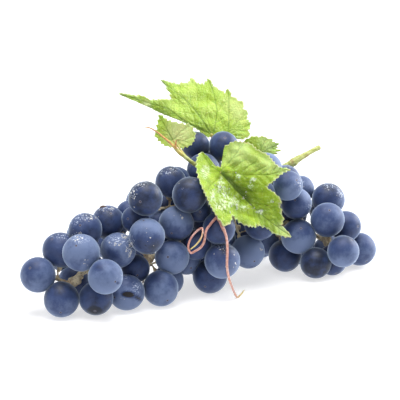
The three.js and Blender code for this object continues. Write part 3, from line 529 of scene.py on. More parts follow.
def smoothed(points, sides, times):
    """Each point goes half way to the average of the points it is joined to, several times."""
    count = np.bincount(sides.ravel(), minlength=len(points))[:, None]
    for _ in range(times):
        total = np.zeros_like(points)
        for axis in range(3):
            total[:, axis] = (np.bincount(sides[:, 0], points[sides[:, 1], axis], len(points))
                              + np.bincount(sides[:, 1], points[sides[:, 0], axis], len(points)))
        points = points + (total / np.maximum(count, 1) - points) / 2
    return points


reach = np.linalg.norm(STEM_POINT - CENTRES, axis=1) - RADII
held = np.nonzero(reach < TOO_FAR)[0]
cushion_points, cushion_faces = [], []


def turned_piece(steps, ring):
    """Adds a closed body of rings: a centre and a half thickness for each, round one turn."""
    first = len(wood_corners) + len(cushion_points) * CUSHION_SIDES
    for centre, half in steps:
        cushion_points.append(centre + ring * half)
    last = first + (len(steps) - 1) * CUSHION_SIDES
    k = np.arange(CUSHION_SIDES)
    cushion_faces.extend(ring_faces(len(steps), CUSHION_SIDES, first).tolist())
    cushion_faces.extend([(first + k).tolist(), (last + k[::-1]).tolist()])


for i in held:
    away = STEM[i]
    seat = CENTRES[i] + away * (RADII[i] - STEM_DIMPLE)
    root = STEM_POINT[i] + away * ROOT_OUT * MM
    turned_piece([(root, PEDICEL_HALF), (seat + (root - seat) / 2, PEDICEL_HALF),
                  (seat + away * CUSHION_HIGH * MM, CUSHION_HALF),
                  (seat, CUSHION_HALF * SEAT_WIDER),
                  (seat - away * SUNK, CUSHION_HALF * FOOT_NARROWER)],
                 ring_about(away, CUSHION_SIDES))
turn = np.arange(CUSHION_SIDES) / CUSHION_SIDES * 2 * math.pi
level = np.column_stack([np.cos(turn), np.sin(turn), np.zeros(CUSHION_SIDES)])
for across, down, back, half in KNOTS:
    middle = seen([[across, down, back]])[0]
    turned_piece([(middle + [0, 0, high * half * MM], half * MM * math.sqrt(1 - high ** 2))
                  for high in np.sin(np.linspace(-KNOT_END, KNOT_END, KNOT_RINGS))], level)
points, faces, sides = grown_together(np.concatenate([wood_corners, *cushion_points]),
                                      wood_triangles.tolist() + cushion_faces, VOXEL)
points = smoothed(points, sides, SMOOTHINGS)
crags = np.random.default_rng(12).normal(0, 2 * math.pi / CRAG_LONG / math.sqrt(3), (3, 3, 3))
moved = [np.sin(points @ waves.T).sum(axis=1) / math.sqrt(3) for waves in crags]
points = points + CRAG * np.stack(moved, -1)

bark = Nodes("rachis_wood")
knots = bark.noise(4 * MM, detail=4, rough=0.65)
fibre = bark.noise(0.8 * MM, detail=4, rough=0.7)
colour = bark.mix(bark.between(knots, 0.38, 0.58), (0.66, 0.50, 0.31), (0.97, 0.84, 0.58))
colour = bark.mix(bark.between(fibre, 0.53, 0.68, 0.0, 0.85), colour, (0.20, 0.11, 0.07))
bark.link(colour, bark.shader.inputs["Base Color"])
bark.set(Roughness=0.75, Specular_IOR_Level=0.3)
bark.bump(bark.math("ADD", fibre, knots), 0.6 * MM)
piece("stalk_of_bunch", points, faces, bark.material, "rachis")


MOST_BALLS, NO_STEP = 6, 1e-6


def clear_of_berries(points, room, toward):
    """Moves each point along the line of sight, away from the viewer (toward = 1) or to the viewer
    (-1), to where it leaves the last ball that holds it, each ball being grown by room."""
    points = points.copy()
    for _ in range(MOST_BALLS):
        off = points[:, None] - CENTRES[None]
        along = off @ AHEAD * toward
        apart = (off ** 2).sum(-1)
        within = (RADII + room) ** 2 - (apart - along ** 2)
        held_by = (apart < (RADII + room) ** 2) & (within > 0)
        step = np.where(held_by, np.sqrt(np.maximum(within, 0)) - along, 0).max(axis=1)
        if step.max() <= NO_STEP:
            break
        points += toward * AHEAD * step[:, None]
    return points


def along_places(places, steps):
    """Points and half thicknesses evenly along a smooth curve through rows of pixels across,
    pixels down, mm back and mm half thickness: a cubic between each two from the two beyond."""
    places = np.asarray(places, float)
    ends = np.concatenate([2 * places[:1] - places[1:2], places, 2 * places[-1:] - places[-2:-1]])
    at = np.linspace(0, len(places) - 1, steps)
    slot = np.minimum(at.astype(int), len(places) - 2)
    t = (at - slot)[:, None]
    a, b, c, d = ends[slot], ends[slot + 1], ends[slot + 2], ends[slot + 3]
    bend, twist = 2 * a - 5 * b + 4 * c - d, 3 * b - a - 3 * c + d
    run = (2 * b + (c - a) * t + bend * t ** 2 + twist * t ** 3) / 2
    return seen(run[:, :3]), run[:, 3] * MM


END_NARROWER, END_OUT = 0.7, 0.35  # over a tube's half thickness


def round_run(points, halves, sides):
    """A closed tube along points: rings square to the path, the last and first drawn in to a
    rounded end. Returns its points, its faces and how far along each point lies, from 0 to 1."""
    along = np.gradient(points, axis=0)
    along /= np.linalg.norm(along, axis=1)[:, None]
    across = np.cross(along, AHEAD)
    across /= np.linalg.norm(across, axis=1)[:, None]
    other = np.cross(across, along)
    turn = np.arange(sides) / sides * 2 * math.pi
    round_it = (np.cos(turn)[None, :, None] * across[:, None]
                + np.sin(turn)[None, :, None] * other[:, None])
    rings = points[:, None] + halves[:, None, None] * round_it
    for end in (0, -1):
        rings[end] = points[end] + (rings[end] - points[end]) * END_NARROWER
    caps = np.stack([points[0] - along[0] * halves[0] * END_OUT,
                     points[-1] + along[-1] * halves[-1] * END_OUT])
    count = len(points) * sides
    quads = ring_faces(len(points), sides, 0)[:, [0, 3, 2, 1]]
    first, last = fan(count, sides, 0)[:, [0, 2, 1]], fan(count + 1, sides, count - sides)
    place = np.concatenate([np.repeat(np.linspace(0, 1, len(points)), sides), [0, 1]])
    faces = quads.tolist() + first.tolist() + last.tolist()
    return np.concatenate([rings.reshape(-1, 3), caps]), faces, place


# The shoot: a green cane with a swollen node where the leaf stalks and the bunch leave it. It was
# cut off at the right, where the bark flares and the cut shows paler.
SHOOT = [(320, 147, 30, 1.25), (313, 150.5, 28.5, 1.25), (306, 154.5, 27, 1.35),
         (298, 159, 25.5, 1.8), (293, 162.5, 25, 2.15), (289, 165, 25, 1.9), (274, 171, 26, 1.5),
         (255, 172, 22, 1.5), (240, 171, 10, 1.6), (228, 173, -2, 1.9), (217, 175, -11, 1.6),
         (204, 170.5, -16, 1.2), (192, 162.3, -18, 1.0), (182.5, 155, -19, 0.9)]
SHOOT_NODE = (228, 173, -2)
SWELLING, SWELLS = 0.05, (70, 23)  # how unevenly thick it is, and its waves
SHOOT_RINGS, SHOOT_SIDES = 150, 16
STALK_RINGS, STALK_SIDES = 40, 10
STALKS = {
    "leaf_front": [(*SHOOT_NODE, 1.0), (225.5, 171, -9, 0.8), (220.2, 172.2, -19, 0.9)],
    "leaf_back": [(238, 171, 9, 1.0), (231, 163, 14, 0.9), (217, 147, 17, 0.8),
                  (211, 134, 15, 0.9)],
    "leaf_left": [(186, 157.5, -18.5, 0.8), (181, 150.5, -15, 0.6), (177, 144, -13, 0.6),
                  (173, 140.3, -12, 0.7)],
    "leaf_right": [(255, 172, 22, 0.9), (256, 163, 21, 0.8), (259, 154, 19, 0.8)],
}
points, halves = along_places(SHOOT, SHOOT_RINGS)
at = np.linspace(0, 1, len(points))
halves *= 1 + SWELLING * np.sin(at * SWELLS[0]) * np.sin(at * SWELLS[1] + 1)
points, faces, place = round_run(points, halves, SHOOT_SIDES)
cane = Nodes("shoot_bark")
stripes = cane.noise(1.1 * MM, detail=4, rough=0.6, stretch=(0.35, 1, 1))
blush = cane.noise(6 * MM, detail=2)
colour = cane.mix(cane.between(stripes, 0.35, 0.65), (0.32, 0.35, 0.08), (0.54, 0.58, 0.22))
colour = cane.mix(cane.between(blush, 0.54, 0.70, 0.0, 0.7), colour, (0.36, 0.19, 0.10))
colour = cane.mix(cane.between(cane.read("along"), 0.0, 0.01, 1.0, 0.0), colour, (0.55, 0.52, 0.30))
cane.link(colour, cane.shader.inputs["Base Color"])
cane.set(Roughness=0.5, Specular_IOR_Level=0.4)
cane.bump(stripes, 0.2 * MM)
shoot = piece("cane", points, faces, cane.material, "shoot")
attribute(shoot.data, "along", place)

# The tendrils: thin wiry shoots, salmon to orange, yellowing at their tips, with a small joint
# where they fork. The left one springs from an olive base with a short spur.
TENDRIL_LEFT = [(184, 156, -19, 0.9), (180.3, 153.3, -19.3, 1.0), (177, 150.1, -19.4, 0.95),
                (173, 145.6, -19.4, 0.75), (167.7, 140.7, -19, 0.6), (162.3, 136.3, -18.5, 0.5),
                (157.9, 132.7, -18, 0.42), (150.7, 128.2, -17, 0.34), (144.5, 126.9, -16, 0.24)]
TENDRIL_SPUR = [(177, 150.1, -19.4, 0.8), (175.4, 145.2, -20.2, 0.5), (176.6, 139.8, -20.6, 0.25)]
TENDRIL_STEM = [(*SHOOT_NODE, 0.9), (226.5, 184, -14, 0.8), (222, 200, -24, 0.75),
                (216.4, 217.1, -32, 0.75)]
TENDRIL_LONG = [(216.4, 217.1, -32, 0.75), (219.4, 220.8, -33, 0.68), (222.4, 226.8, -34, 0.82),
                (225.5, 234, -35, 0.62), (227, 241.4, -36, 0.62), (227.3, 253.5, -36.5, 0.64),
                (227, 265.6, -36, 0.6), (228.5, 276.5, -32, 0.6), (231.5, 285.6, -26, 0.55),
                (234.5, 292.9, -20.5, 0.55), (237.3, 297.1, -17.2, 0.55),
                (240.6, 294.7, -13.7, 0.42), (244.5, 289.8, -6.6, 0.22)]
TENDRIL_LOOP = [(216.4, 217.1, -32, 0.7), (210.3, 224.4, -33, 0.62), (206, 231, -34, 0.62),
                (204.2, 241.4, -35, 0.62), (200.6, 247.4, -35.5, 0.58), (195.2, 251, -36, 0.56),
                (190.9, 252.9, -36, 0.55), (188.4, 248.6, -36, 0.55), (188.8, 243.4, -35.5, 0.52),
                (192, 236.5, -35, 0.5), (197.6, 230.5, -34.5, 0.5), (201.8, 228, -36, 0.48),
                (202.7, 232.3, -37.5, 0.45), (200.6, 238.9, -38, 0.4), (195.8, 245, -38, 0.35),
                (190.5, 249.3, -38.2, 0.25)]


TENDRIL_ROOM = 0.95 * MM


def tendril(name, runs, node, orange=0.0):
    """Tubes along several runs, each drawn to the viewer where it would enter a berry. A run is
    its places, how many rings it has, and how far along the tendril it starts and ends."""
    points, faces, place, first = [], [], [], 0
    for places, steps, base, tip in runs:
        middle, halves = along_places(places, steps)
        middle = clear_of_berries(middle, TENDRIL_ROOM, -1)
        middle[1:-1] = (middle[:-2] + 2 * middle[1:-1] + middle[2:]) / 4
        middle[:, 2] = np.maximum(middle[:, 2], halves)
        own, own_faces, own_place = round_run(middle, halves, STALK_SIDES)
        points.append(own)
        faces += [tuple(first + v for v in face) for face in own_faces]
        place.append(base + (tip - base) * own_place)
        first += len(own)
    made = piece(name, np.concatenate(points), faces, rind.material, node)
    attribute(made.data, "along", np.concatenate(place))
    attribute(made.data, "orange", np.full(len(made.data.vertices), orange))


rind = Nodes("tendril_skin")
mottle = rind.noise(1.5 * MM, detail=3)
salmon = rind.mix(rind.between(mottle, 0.35, 0.65), (0.46, 0.18, 0.14), (0.66, 0.36, 0.31))
orange = rind.mix(rind.between(mottle, 0.40, 0.60), (0.34, 0.13, 0.04), (0.58, 0.30, 0.07))
salmon = rind.mix(rind.read("orange"), salmon, orange)
olive = rind.mix(rind.between(mottle, 0.35, 0.65), (0.36, 0.36, 0.08), (0.48, 0.40, 0.12))
colour = rind.mix(rind.between(rind.read("along"), 0.20, 0.42), olive, salmon)
colour = rind.mix(rind.between(rind.read("along"), 0.86, 1.0), colour, (0.66, 0.52, 0.16))
rind.link(colour, rind.shader.inputs["Base Color"])
rind.set(Roughness=0.36, Specular_IOR_Level=0.6, Subsurface_Weight=0.1)
rind.bump(mottle, 0.1 * MM)
tendril("tendril_upper_left", [(TENDRIL_LEFT, 70, 0.02, 0.8), (TENDRIL_SPUR, 20, 0.25, 0.8)],
        "tendril_left", orange=1.0)
tendril("tendril_hanging", [(TENDRIL_STEM, 40, 0.4, 0.6), (TENDRIL_LONG, 130, 0.5, 1.0),
                            (TENDRIL_LOOP, 150, 0.5, 1.0)], "tendril_front")

# The leaves: young vine leaves, thin, toothed and lobed, pale yellow green. Each grows from the
# end of its stalk, with a main vein to each lobe and side veins to the teeth, between which the
# blade stands up in small quilts. The CAD node gives how far back each leaf lies.
RIM_FRONT = [(211, 166.6), (208.9, 161), (206.8, 155.4), (200.9, 152.2), (197, 159), (196.7, 168),
             (199, 178.5), (201.6, 185.5), (206.8, 196.8), (210.4, 205.2), (216.7, 215.7),
             (224.7, 226.2), (230.7, 221.3), (231.8, 213.6), (240.5, 222.7), (246, 225.2),
             (256.3, 226.9), (255.3, 224), (269.3, 228.3), (274.2, 233.2), (286.8, 237.1),
             (291.4, 236.4), (281.2, 226.2), (283.7, 217.8), (279.8, 213.6), (281.9, 212.9),
             (278.4, 203.8), (281.6, 201.7), (277, 195.4), (269.3, 190.4), (265.4, 186.9),
             (272.8, 181.3), (283.3, 172.2), (290.4, 169.4), (279.8, 168), (275.6, 164.5),
             (267.9, 155.4), (263.7, 152.9), (256.7, 149.7), (251, 144), (239, 141.7),
             (233.9, 141.7), (224.4, 147.6), (223.7, 158.2), (221.6, 168)]
RIM_BACK = [(206.5, 136.5), (196, 127.5), (185.5, 122.3), (168.6, 115.5), (153, 108.5),
            (148.5, 104.5), (142.5, 101.6), (134, 98), (118.5, 93.8), (134, 96.4), (140, 95.6),
            (144.5, 97.8), (149, 100.5), (155, 100.2), (163, 99.4), (171.3, 100), (170.4, 93),
            (166.5, 86.2), (160.5, 80), (168, 82.2), (174.8, 83.4), (178, 84.6), (182.5, 82.6),
            (187.5, 84), (192, 77.6), (196, 83.4), (203.5, 84.6), (209, 78.6), (212.5, 85.5),
            (218, 89), (224.8, 93.6), (228.4, 88.6), (230.8, 96), (237.6, 100.4), (243.8, 102.8),
            (242.6, 108.5), (247.6, 112), (246.4, 119), (250.8, 124), (248, 130), (249.6, 135.7),
            (241.8, 139.3), (232, 136), (221, 135.5)]
RIM_LEFT = [(169, 146.5), (163.7, 144.3), (157.9, 138.9), (154.7, 134.5), (157.2, 129.5),
            (157.9, 124), (159, 119), (159.2, 114.4), (162.5, 117.2), (166.8, 120.6),
            (171.3, 121.9), (178.4, 123.4), (184.2, 124.6), (189.6, 125), (193, 130), (195, 135.4),
            (193, 142), (190, 145.2), (181.5, 147.9)]
RIM_RIGHT = [(250, 152), (246, 147), (243.4, 141.8), (248.5, 138.6), (253.2, 136.3), (258.5, 137.4),
             (263, 136.2), (267, 138.3), (273, 139.5), (271.5, 141.5), (279.6, 144), (272, 145),
             (278, 147.5), (272.5, 148), (281.2, 150.8), (272, 151), (278, 154), (269, 153.5),
             (266, 156), (263, 160), (262, 158)]
BLADE_THICK = 0.45 * MM
LEAF_CLEAR, LAST_CLEAR = 0.75 * MM, 0.55 * MM
STALK_ROOM, STALK_END = 1.5 * MM, 1.2 * MM
LEAF_PASSES, LEAF_SMOOTHINGS = 4, 12
DEPTH_REACH = 3.5  # pixels over which the depths of the CAD leaf's corners are averaged
FAINT = 1e-12  # keeps a place far from every corner from dividing by 0
TOOTH_WIDE, TOOTH_STEP, TOOTH_FULL = 4.6, 0.55, 4  # pixels
TOOTH_PEAK, TOOTH_HOLLOW = 0.72, 1.6
TOOTH_WIDTHS, TOOTH_SKEWS, TOOTH_HEIGHTS = (0.8, 1.3), (0.8, 1.25), (0.6, 1.2)  # least and most
RINGS_CLOSER, TEETH_OUT = 0.85, 8  # powers of how far out a ring lies
QUILT_WIDE, QUILT_START = 2.2, 5
WAVE, WAVE_ONE, WAVE_TWO = 0.25, (0.21, 0.13), (-0.07, 0.17)  # mm, and two turns a pixel
# Veins, in pixels: pieces of a main one, its half width and what it loses to its tip, the same
# for a side vein, how strongly that shows, its turns in degrees, how far from its partner it
# starts, how long it is over the main vein's length, and where along that the side veins are.
VEIN_STEPS = 24
MAIN_HALF, MAIN_THINS = 0.85, 0.5
SIDE_HALF, SIDE_THINS, SIDE_SHOWS, SIDE_FADES = 0.5, 0.1, 0.5, 0.12
SIDE_BENDS, SIDE_LEAN = (48, 40, 31), 6
SIDE_SHIFTS, SIDE_LENGTHS = (0.8, 2.5), (0.28, 0.4)
SIDE_FIRST, SIDE_LAST, SIDE_APART, FEWEST_SIDES = 0.16, 0.86, 10, 3


def side_veins(main):
    """Pieces of veins as start, end, half width in pixels and how strongly they show. A main vein,
    given as that strength and its places, thins towards its tip, and side veins leave it to both
    sides at some 48 degrees, bend towards the tip and are shorter near it."""
    rng = np.random.default_rng(len(main))
    out = []
    for share_shown, *vein in main:
        vein = np.asarray(vein, float)
        length = np.linalg.norm(np.diff(vein, axis=0), axis=1).sum()
        at, given = np.linspace(0, 1, VEIN_STEPS), np.linspace(0, 1, len(vein))
        run = np.stack([np.interp(at, given, vein[:, axis]) for axis in (0, 1)], -1)
        for i in range(VEIN_STEPS - 1):
            out.append((*run[i], *run[i + 1], MAIN_HALF - MAIN_THINS * at[i], share_shown))
        sides = max(FEWEST_SIDES, int(length / SIDE_APART))
        for share in np.linspace(SIDE_FIRST, SIDE_LAST, sides):
            slot = int(share * (VEIN_STEPS - 1))
            ahead = run[slot + 1] - run[slot]
            ahead = ahead / np.linalg.norm(ahead)
            for side in (-1, 1):
                start = run[slot] + ahead * side * rng.uniform(*SIDE_SHIFTS)
                reach = rng.uniform(*SIDE_LENGTHS) * length * (1.05 - share) ** 0.8
                lean = rng.uniform(-SIDE_LEAN, SIDE_LEAN)
                for part, bend in enumerate(SIDE_BENDS):
                    turn = math.radians(bend + lean) * side
                    way = np.array([ahead[0] * math.cos(turn) - ahead[1] * math.sin(turn),
                                    ahead[0] * math.sin(turn) + ahead[1] * math.cos(turn)])
                    end = start + way * reach / len(SIDE_BENDS)
                    out.append((*start, *end, SIDE_HALF - SIDE_THINS * part,
                                (SIDE_SHOWS - SIDE_FADES * part) * share_shown))
                    start = end
    return np.array(out)


def from_veins(flat, veins):
    """How near each place of the blade lies to a vein, 1 on it and fading with its width, and how
    far it is from any vein, in pixels."""
    start, end, half, strength = veins[:, :2], veins[:, 2:4], veins[:, 4], veins[:, 5]
    run = end - start
    share = np.clip(((flat[:, None] - start) * run).sum(-1) / (run ** 2).sum(-1), 0, 1)
    gap = np.linalg.norm(flat[:, None] - start - share[..., None] * run, axis=2)
    return (strength * np.exp(-(gap / half) ** 2)).max(axis=1), gap.min(axis=1)


def toothed_rim(rim, stalk, tooth_high):
    """Places closely along the rim and how far each is moved outwards there: every side of the rim
    carries small teeth, each rising slowly to its point and falling fast."""
    rng = np.random.default_rng(len(rim))
    edge, outward = [], []
    for here, there in zip(rim, np.roll(rim, -1, axis=0)):
        side = there - here
        length = np.linalg.norm(side)
        square = np.array([side[1], -side[0]]) / length
        square *= np.sign(square @ (here - stalk)) or 1
        steps = max(3, round(length / TOOTH_STEP))
        part = np.arange(steps) / steps
        teeth = max(1, round(length / (TOOTH_WIDE * rng.uniform(*TOOTH_WIDTHS))))
        within = part ** rng.uniform(*TOOTH_SKEWS) * teeth % 1
        saw = np.where(within < TOOTH_PEAK, (within / TOOTH_PEAK) ** TOOTH_HOLLOW,
                       (1 - within) / (1 - TOOTH_PEAK))
        high = tooth_high * rng.uniform(*TOOTH_HEIGHTS) * min(1, length / TOOTH_FULL)
        edge.append(here + side * part[:, None])
        outward.append(square * (high * saw)[:, None])
    return np.concatenate(edge), np.concatenate(outward)


def beside(flat, line, fade, deep):
    """The shade beside a crease: it comes up at both ends of the line, starts sharply at the line
    and fades to the right of it with the distance."""
    start, end = np.array(line, float)
    length = np.linalg.norm(end - start)
    run = (end - start) / length
    ahead = (flat - start) @ run
    aside = (flat - start) @ np.array([run[1], -run[0]])
    on_line = (np.clip((ahead + CREASE_BEFORE) / CREASE_RISE, 0, 1)
               * np.clip((length + CREASE_AFTER - ahead) / CREASE_FALL, 0, 1))
    return deep * on_line * np.exp(-np.abs(aside) / fade) * np.clip(aside + 1, 0, 1)


def leaf(name, rim, veins, toward, node, material, light_and_tones, rings=40, tooth_high=1.6, quilt=0.6,
         reach=DEPTH_REACH, crease=None, wet_glint=()):
    """A blade as rings from the end of the stalk out to the toothed rim. Its depth is the average
    of the CAD leaf's corners, the nearest in the picture counting most, and quilts between the
    veins and a slow wave are added to it. Returns its places in the picture and in metres."""
    stalk = np.array(STALKS[node][-1][:2])
    edge, outward = toothed_rim(np.array(rim, float), stalk, tooth_high)
    out = (np.arange(1, rings + 1) / rings) ** RINGS_CLOSER
    rows = (stalk + (edge - stalk)[None] * out[:, None, None]
            + outward[None] * (out ** TEETH_OUT)[:, None, None])
    flat = np.concatenate([stalk[None], rows.reshape(-1, 2)])
    away = np.concatenate([[0], np.repeat(out, len(edge))])
    corners, _ = corners_of(node)
    stem, _ = along_places(STALKS[node], 30)
    stem = stem[np.linalg.norm(stem - stem[-1], axis=1) > STALK_END]
    from_stem = np.linalg.norm(corners[:, None] - stem[None], axis=2).min(axis=1)
    known = places_of(corners[from_stem > STALK_ROOM])
    apart = ((flat[:, None] - known[None, :, :2]) ** 2).sum(-1)
    near = np.exp(-apart / (2 * reach ** 2)) + FAINT
    back = (near * known[:, 2]).sum(1) / near.sum(1)
    on_vein, gap = from_veins(flat, veins)
    back -= quilt * (1 - np.exp(-gap / QUILT_WIDE)) * np.clip(away * QUILT_START, 0, 1)
    back += WAVE * away ** 2 * np.sin(flat @ WAVE_ONE) * np.cos(flat @ WAVE_TWO)
    # Painted light and shade on the blade, partly its own paler and darker green, and the painted
    # shade beside the crease.
    painted_light_and_tone = np.zeros(len(flat))
    for x, y, wide, value in light_and_tones:
        painted_light_and_tone += value * np.exp(-((flat - (x, y)) ** 2).sum(1) / (2 * wide ** 2))
    if crease:
        painted_light_and_tone -= beside(flat, *crease)
    count = len(edge)
    points = seen(np.column_stack([flat, back]))
    quads, inner = ring_faces(rings, count, 1), fan(0, count, 1)
    sides = np.concatenate([quads[:, :2], quads[:, 1:3], inner[:, 1:]])
    for _ in range(LEAF_PASSES):
        pushed = clear_of_berries(points, LEAF_CLEAR, toward)
        points = points + smoothed(pushed - points, sides, LEAF_SMOOTHINGS)
    points = clear_of_berries(points, LAST_CLEAR, toward)
    made = piece(name, points, quads.tolist() + inner.tolist(), material, node)
    attribute(made.data, "vein", on_vein)
    attribute(made.data, "away", away)
    attribute(made.data, "painted_light_and_tone", painted_light_and_tone)
    attribute(made.data, "wet_glint", wet_glint_spots(flat, wet_glint))
    thick = made.modifiers.new("thickness", "SOLIDIFY")
    thick.thickness = BLADE_THICK
    thick.offset = 0
    return flat, points


LEAF_FILM_GLINT = (0.66, 0.76, 0.54)  # a film of water, its colour a painted reflection of the light on it
LEAF_DARK, LEAF_DEEP, LEAF_LIGHT = (0.075, 0.13, 0.004), (0.19, 0.31, 0.006), (0.33, 0.48, 0.025)
LEAF_BRIGHT, LEAF_VEIN, LEAF_EDGE = (0.58, 0.73, 0.27), (0.06, 0.11, 0.008), (0.60, 0.66, 0.33)
PALE_DARK, PALE_DEEP, PALE_LIGHT = (0.20, 0.30, 0.01), (0.31, 0.48, 0.03), (0.42, 0.60, 0.085)
PALE_BRIGHT, PALE_VEIN, PALE_EDGE = (0.62, 0.72, 0.28), (0.14, 0.25, 0.02), (0.56, 0.68, 0.30)


def leaf_material(name, dark, deep, light, bright, vein, vein_share, edge):
    """Leaf green that varies in clouds and fine cells, darker or brighter where its tone of painted
    light and shade, partly its own green, says so, its veins and its rim in their own colours, a
    painted glint of light where it is wet, with a soft gloss and some light let through."""
    made = Nodes(name)
    cloud = made.noise(9 * MM, detail=3)
    cells = made.noise(0.9 * MM, detail=4, rough=0.6)
    painted_light_and_tone = made.read("painted_light_and_tone")
    colour = made.mix(made.between(cloud, 0.32, 0.68), deep, light)
    wrinkle = made.noise(1.5 * MM, detail=5, rough=0.7)
    colour = made.mix(made.between(cells, 0.40, 0.75, 0.0, 0.45), colour, light)
    colour = made.mix(made.between(wrinkle, 0.52, 0.72, 0.0, 0.55), colour, bright)
    colour = made.mix(made.between(wrinkle, 0.28, 0.46, 0.45, 0.0), colour, dark)
    # Painted light and shade, partly the blade's own paler and darker green.
    colour = made.mix(made.between(painted_light_and_tone, 0.0, 1.0), colour, bright)
    colour = made.mix(made.between(painted_light_and_tone, -1.0, 0.0, 1.0, 0.0), colour, dark)
    colour = made.mix(made.math("MULTIPLY", made.read("vein"), vein_share), colour, vein)
    colour = made.mix(made.between(made.read("away"), 0.955, 1.0, 0.0, 0.8), colour, edge)
    # A painted glint of light on the wet film, broken up by the wrinkles.
    film_glint = made.math("MULTIPLY", made.between(wrinkle, 0.44, 0.60),
                     made.between(made.read("wet_glint"), 0.15, 0.8, 0.0, 0.85))
    colour = made.mix(film_glint, colour, LEAF_FILM_GLINT)
    made.link(colour, made.shader.inputs["Base Color"])
    made.link(made.between(cells, 0.35, 0.65, 0.32, 0.50), made.shader.inputs["Roughness"])
    made.set(Specular_IOR_Level=0.35, Subsurface_Weight=0.15, Subsurface_Scale=0.001)
    made.bump(made.math("ADD", made.math("ADD", cells, cloud), wrinkle), 0.7 * MM)
    return made


green = leaf_material("leaf_green", LEAF_DARK, LEAF_DEEP, LEAF_LIGHT, LEAF_BRIGHT, LEAF_VEIN, 0.9,
                      LEAF_EDGE)
# A paler copy of the leaf green for the leaf behind the bunch and the small left one: partly their
# own paler green, partly painted light that falls over them and shines through them.
pale = leaf_material("leaf_green_paler", PALE_DARK, PALE_DEEP, PALE_LIGHT, PALE_BRIGHT, PALE_VEIN,
                     0.95, PALE_EDGE)
# Paler and darker parts of each blade, mostly painted light and shade where it turns to the light
# or
# away from it and partly its own green: across, down, how wide in pixels, and how much.
LIGHT_AND_TONES_FRONT = [(204, 172, 9, 0.05), (210, 192, 8, 0.1), (219, 205, 7, 0.1), (218, 178, 3, -0.4),
               (245, 180, 8, -0.05), (256, 192, 9, -0.1), (240, 216, 9, 0.1), (262, 216, 9, 0.2),
               (281, 227, 4, 0.6), (272, 162, 10, 0.5), (225, 160, 7, 0.2), (240, 160, 14, 0.35),
               (240, 148, 7, 0.4), (286, 232, 5, 0.5), (284, 171, 5, 0.3), (248, 222, 5, -0.3)]
LIGHT_AND_TONES_BACK = [(160, 105, 7, -0.35), (166, 101, 5, -0.5), (157, 102, 4, -0.3), (147, 105, 3.5, 1.3),
              (240, 112, 10, 0.5), (225, 100, 10, 0.3), (195, 103, 15, -0.3), (215, 130, 10, -0.2)]
# The crease along the main vein of the front leaf: its line, how fast its shade fades, how deep.
CREASE = (((220.2, 172.2), (253, 207)), 5.5, 1.5)
CREASE_BEFORE, CREASE_RISE, CREASE_AFTER, CREASE_FALL = 3, 6, 8, 22  # pixels, at its two ends
# Where the front leaf is wet and the glint of light on its film of water is painted: across,
# down, half width and half height in pixels.
WET_GLINT_FRONT = [(221, 187, 4, 10), (227, 200, 5, 9), (205, 172, 5, 8), (219, 206, 5, 5),
             (236, 200, 3.5, 6), (243, 208, 5, 3), (238, 177, 2.5, 4), (253, 180, 3, 3),
             (251, 186, 3, 3), (260, 212, 4, 3), (272, 201, 2, 2), (212, 196, 3, 6)]
VEINS_FRONT = [[1.0, (220.2, 172.2), (235, 189.5), (253, 207), (270, 222), (291, 236.4)],
               [0.35, (220.2, 172.2), (219, 190), (224, 224)],
               [0.3, (220.2, 172.2), (210, 166), (201.5, 153)],
               [0.35, (220.2, 172.2), (233, 158), (244, 143)],
               [0.35, (220.2, 172.2), (247, 175), (270, 175), (289, 169.6)]]
VEINS_BACK = [[1.0, (212, 135), (197, 112.8), (187, 101.5), (174.5, 91.5), (161.5, 81.2)],
              [0.8, (212, 135), (214.5, 129), (217, 111.5), (214.5, 96.5), (208.9, 81)],
              [0.8, (226, 136), (228.3, 130), (228.9, 111.5), (228.4, 91)],
              [0.8, (212, 135), (184.5, 121.5), (168.6, 109), (152, 104), (119.5, 94.3)],
              [0.5, (226, 136), (238, 121), (247, 112.8)],
              [0.5, (226, 136), (237, 131), (249.5, 124.6)]]
VEINS_LEFT = [[1.0, (173, 140.3), (169, 133), (165, 126), (159.5, 115.5)],
              [0.5, (173, 140.3), (180, 132), (189, 126)],
              [0.5, (173, 140.3), (165, 139), (156, 134)],
              [0.5, (173, 140.3), (183, 141), (194, 136)]]
VEINS_RIGHT = [[0.5, (259, 154), (262, 146), (266, 139)],
               [0.7, (259, 154), (268, 149), (280.5, 144.5)],
               [0.5, (259, 154), (252, 149), (244, 142)], [0.5, (259, 154), (268, 155), (278, 156)]]
leaf_flat, leaf_points = leaf("leaf_over_bunch", RIM_FRONT, side_veins(VEINS_FRONT), -1,
                              "leaf_front", green.material, LIGHT_AND_TONES_FRONT, quilt=1.0,
                              crease=CREASE, wet_glint=WET_GLINT_FRONT)
leaf("leaf_behind_bunch", RIM_BACK, side_veins(VEINS_BACK), 1, "leaf_back", pale.material,
     LIGHT_AND_TONES_BACK, tooth_high=1.7, reach=5.5)
# The small leaves' paler and darker parts are painted light and shade as well, partly their own
# green.
leaf("leaf_small_left", RIM_LEFT, side_veins(VEINS_LEFT), -1, "leaf_left", pale.material,
     [(180, 132, 12, 1.0), (163, 128, 6, -0.2)], rings=24, tooth_high=2.2)
leaf("leaf_small_right", RIM_RIGHT, side_veins(VEINS_RIGHT), 1, "leaf_right", green.material,
     [(268, 142, 10, 0.55), (256, 152, 5, -0.2)], rings=24, tooth_high=1.2)
for name, places in STALKS.items():
    points, halves = along_places(places, STALK_RINGS)
    points, faces, _ = round_run(points, halves, STALK_SIDES)
    stalk = piece(name.replace("leaf", "stalk_of_leaf"), points, faces, rind.material, None)
    attribute(stalk.data, "along", np.zeros(len(points)))

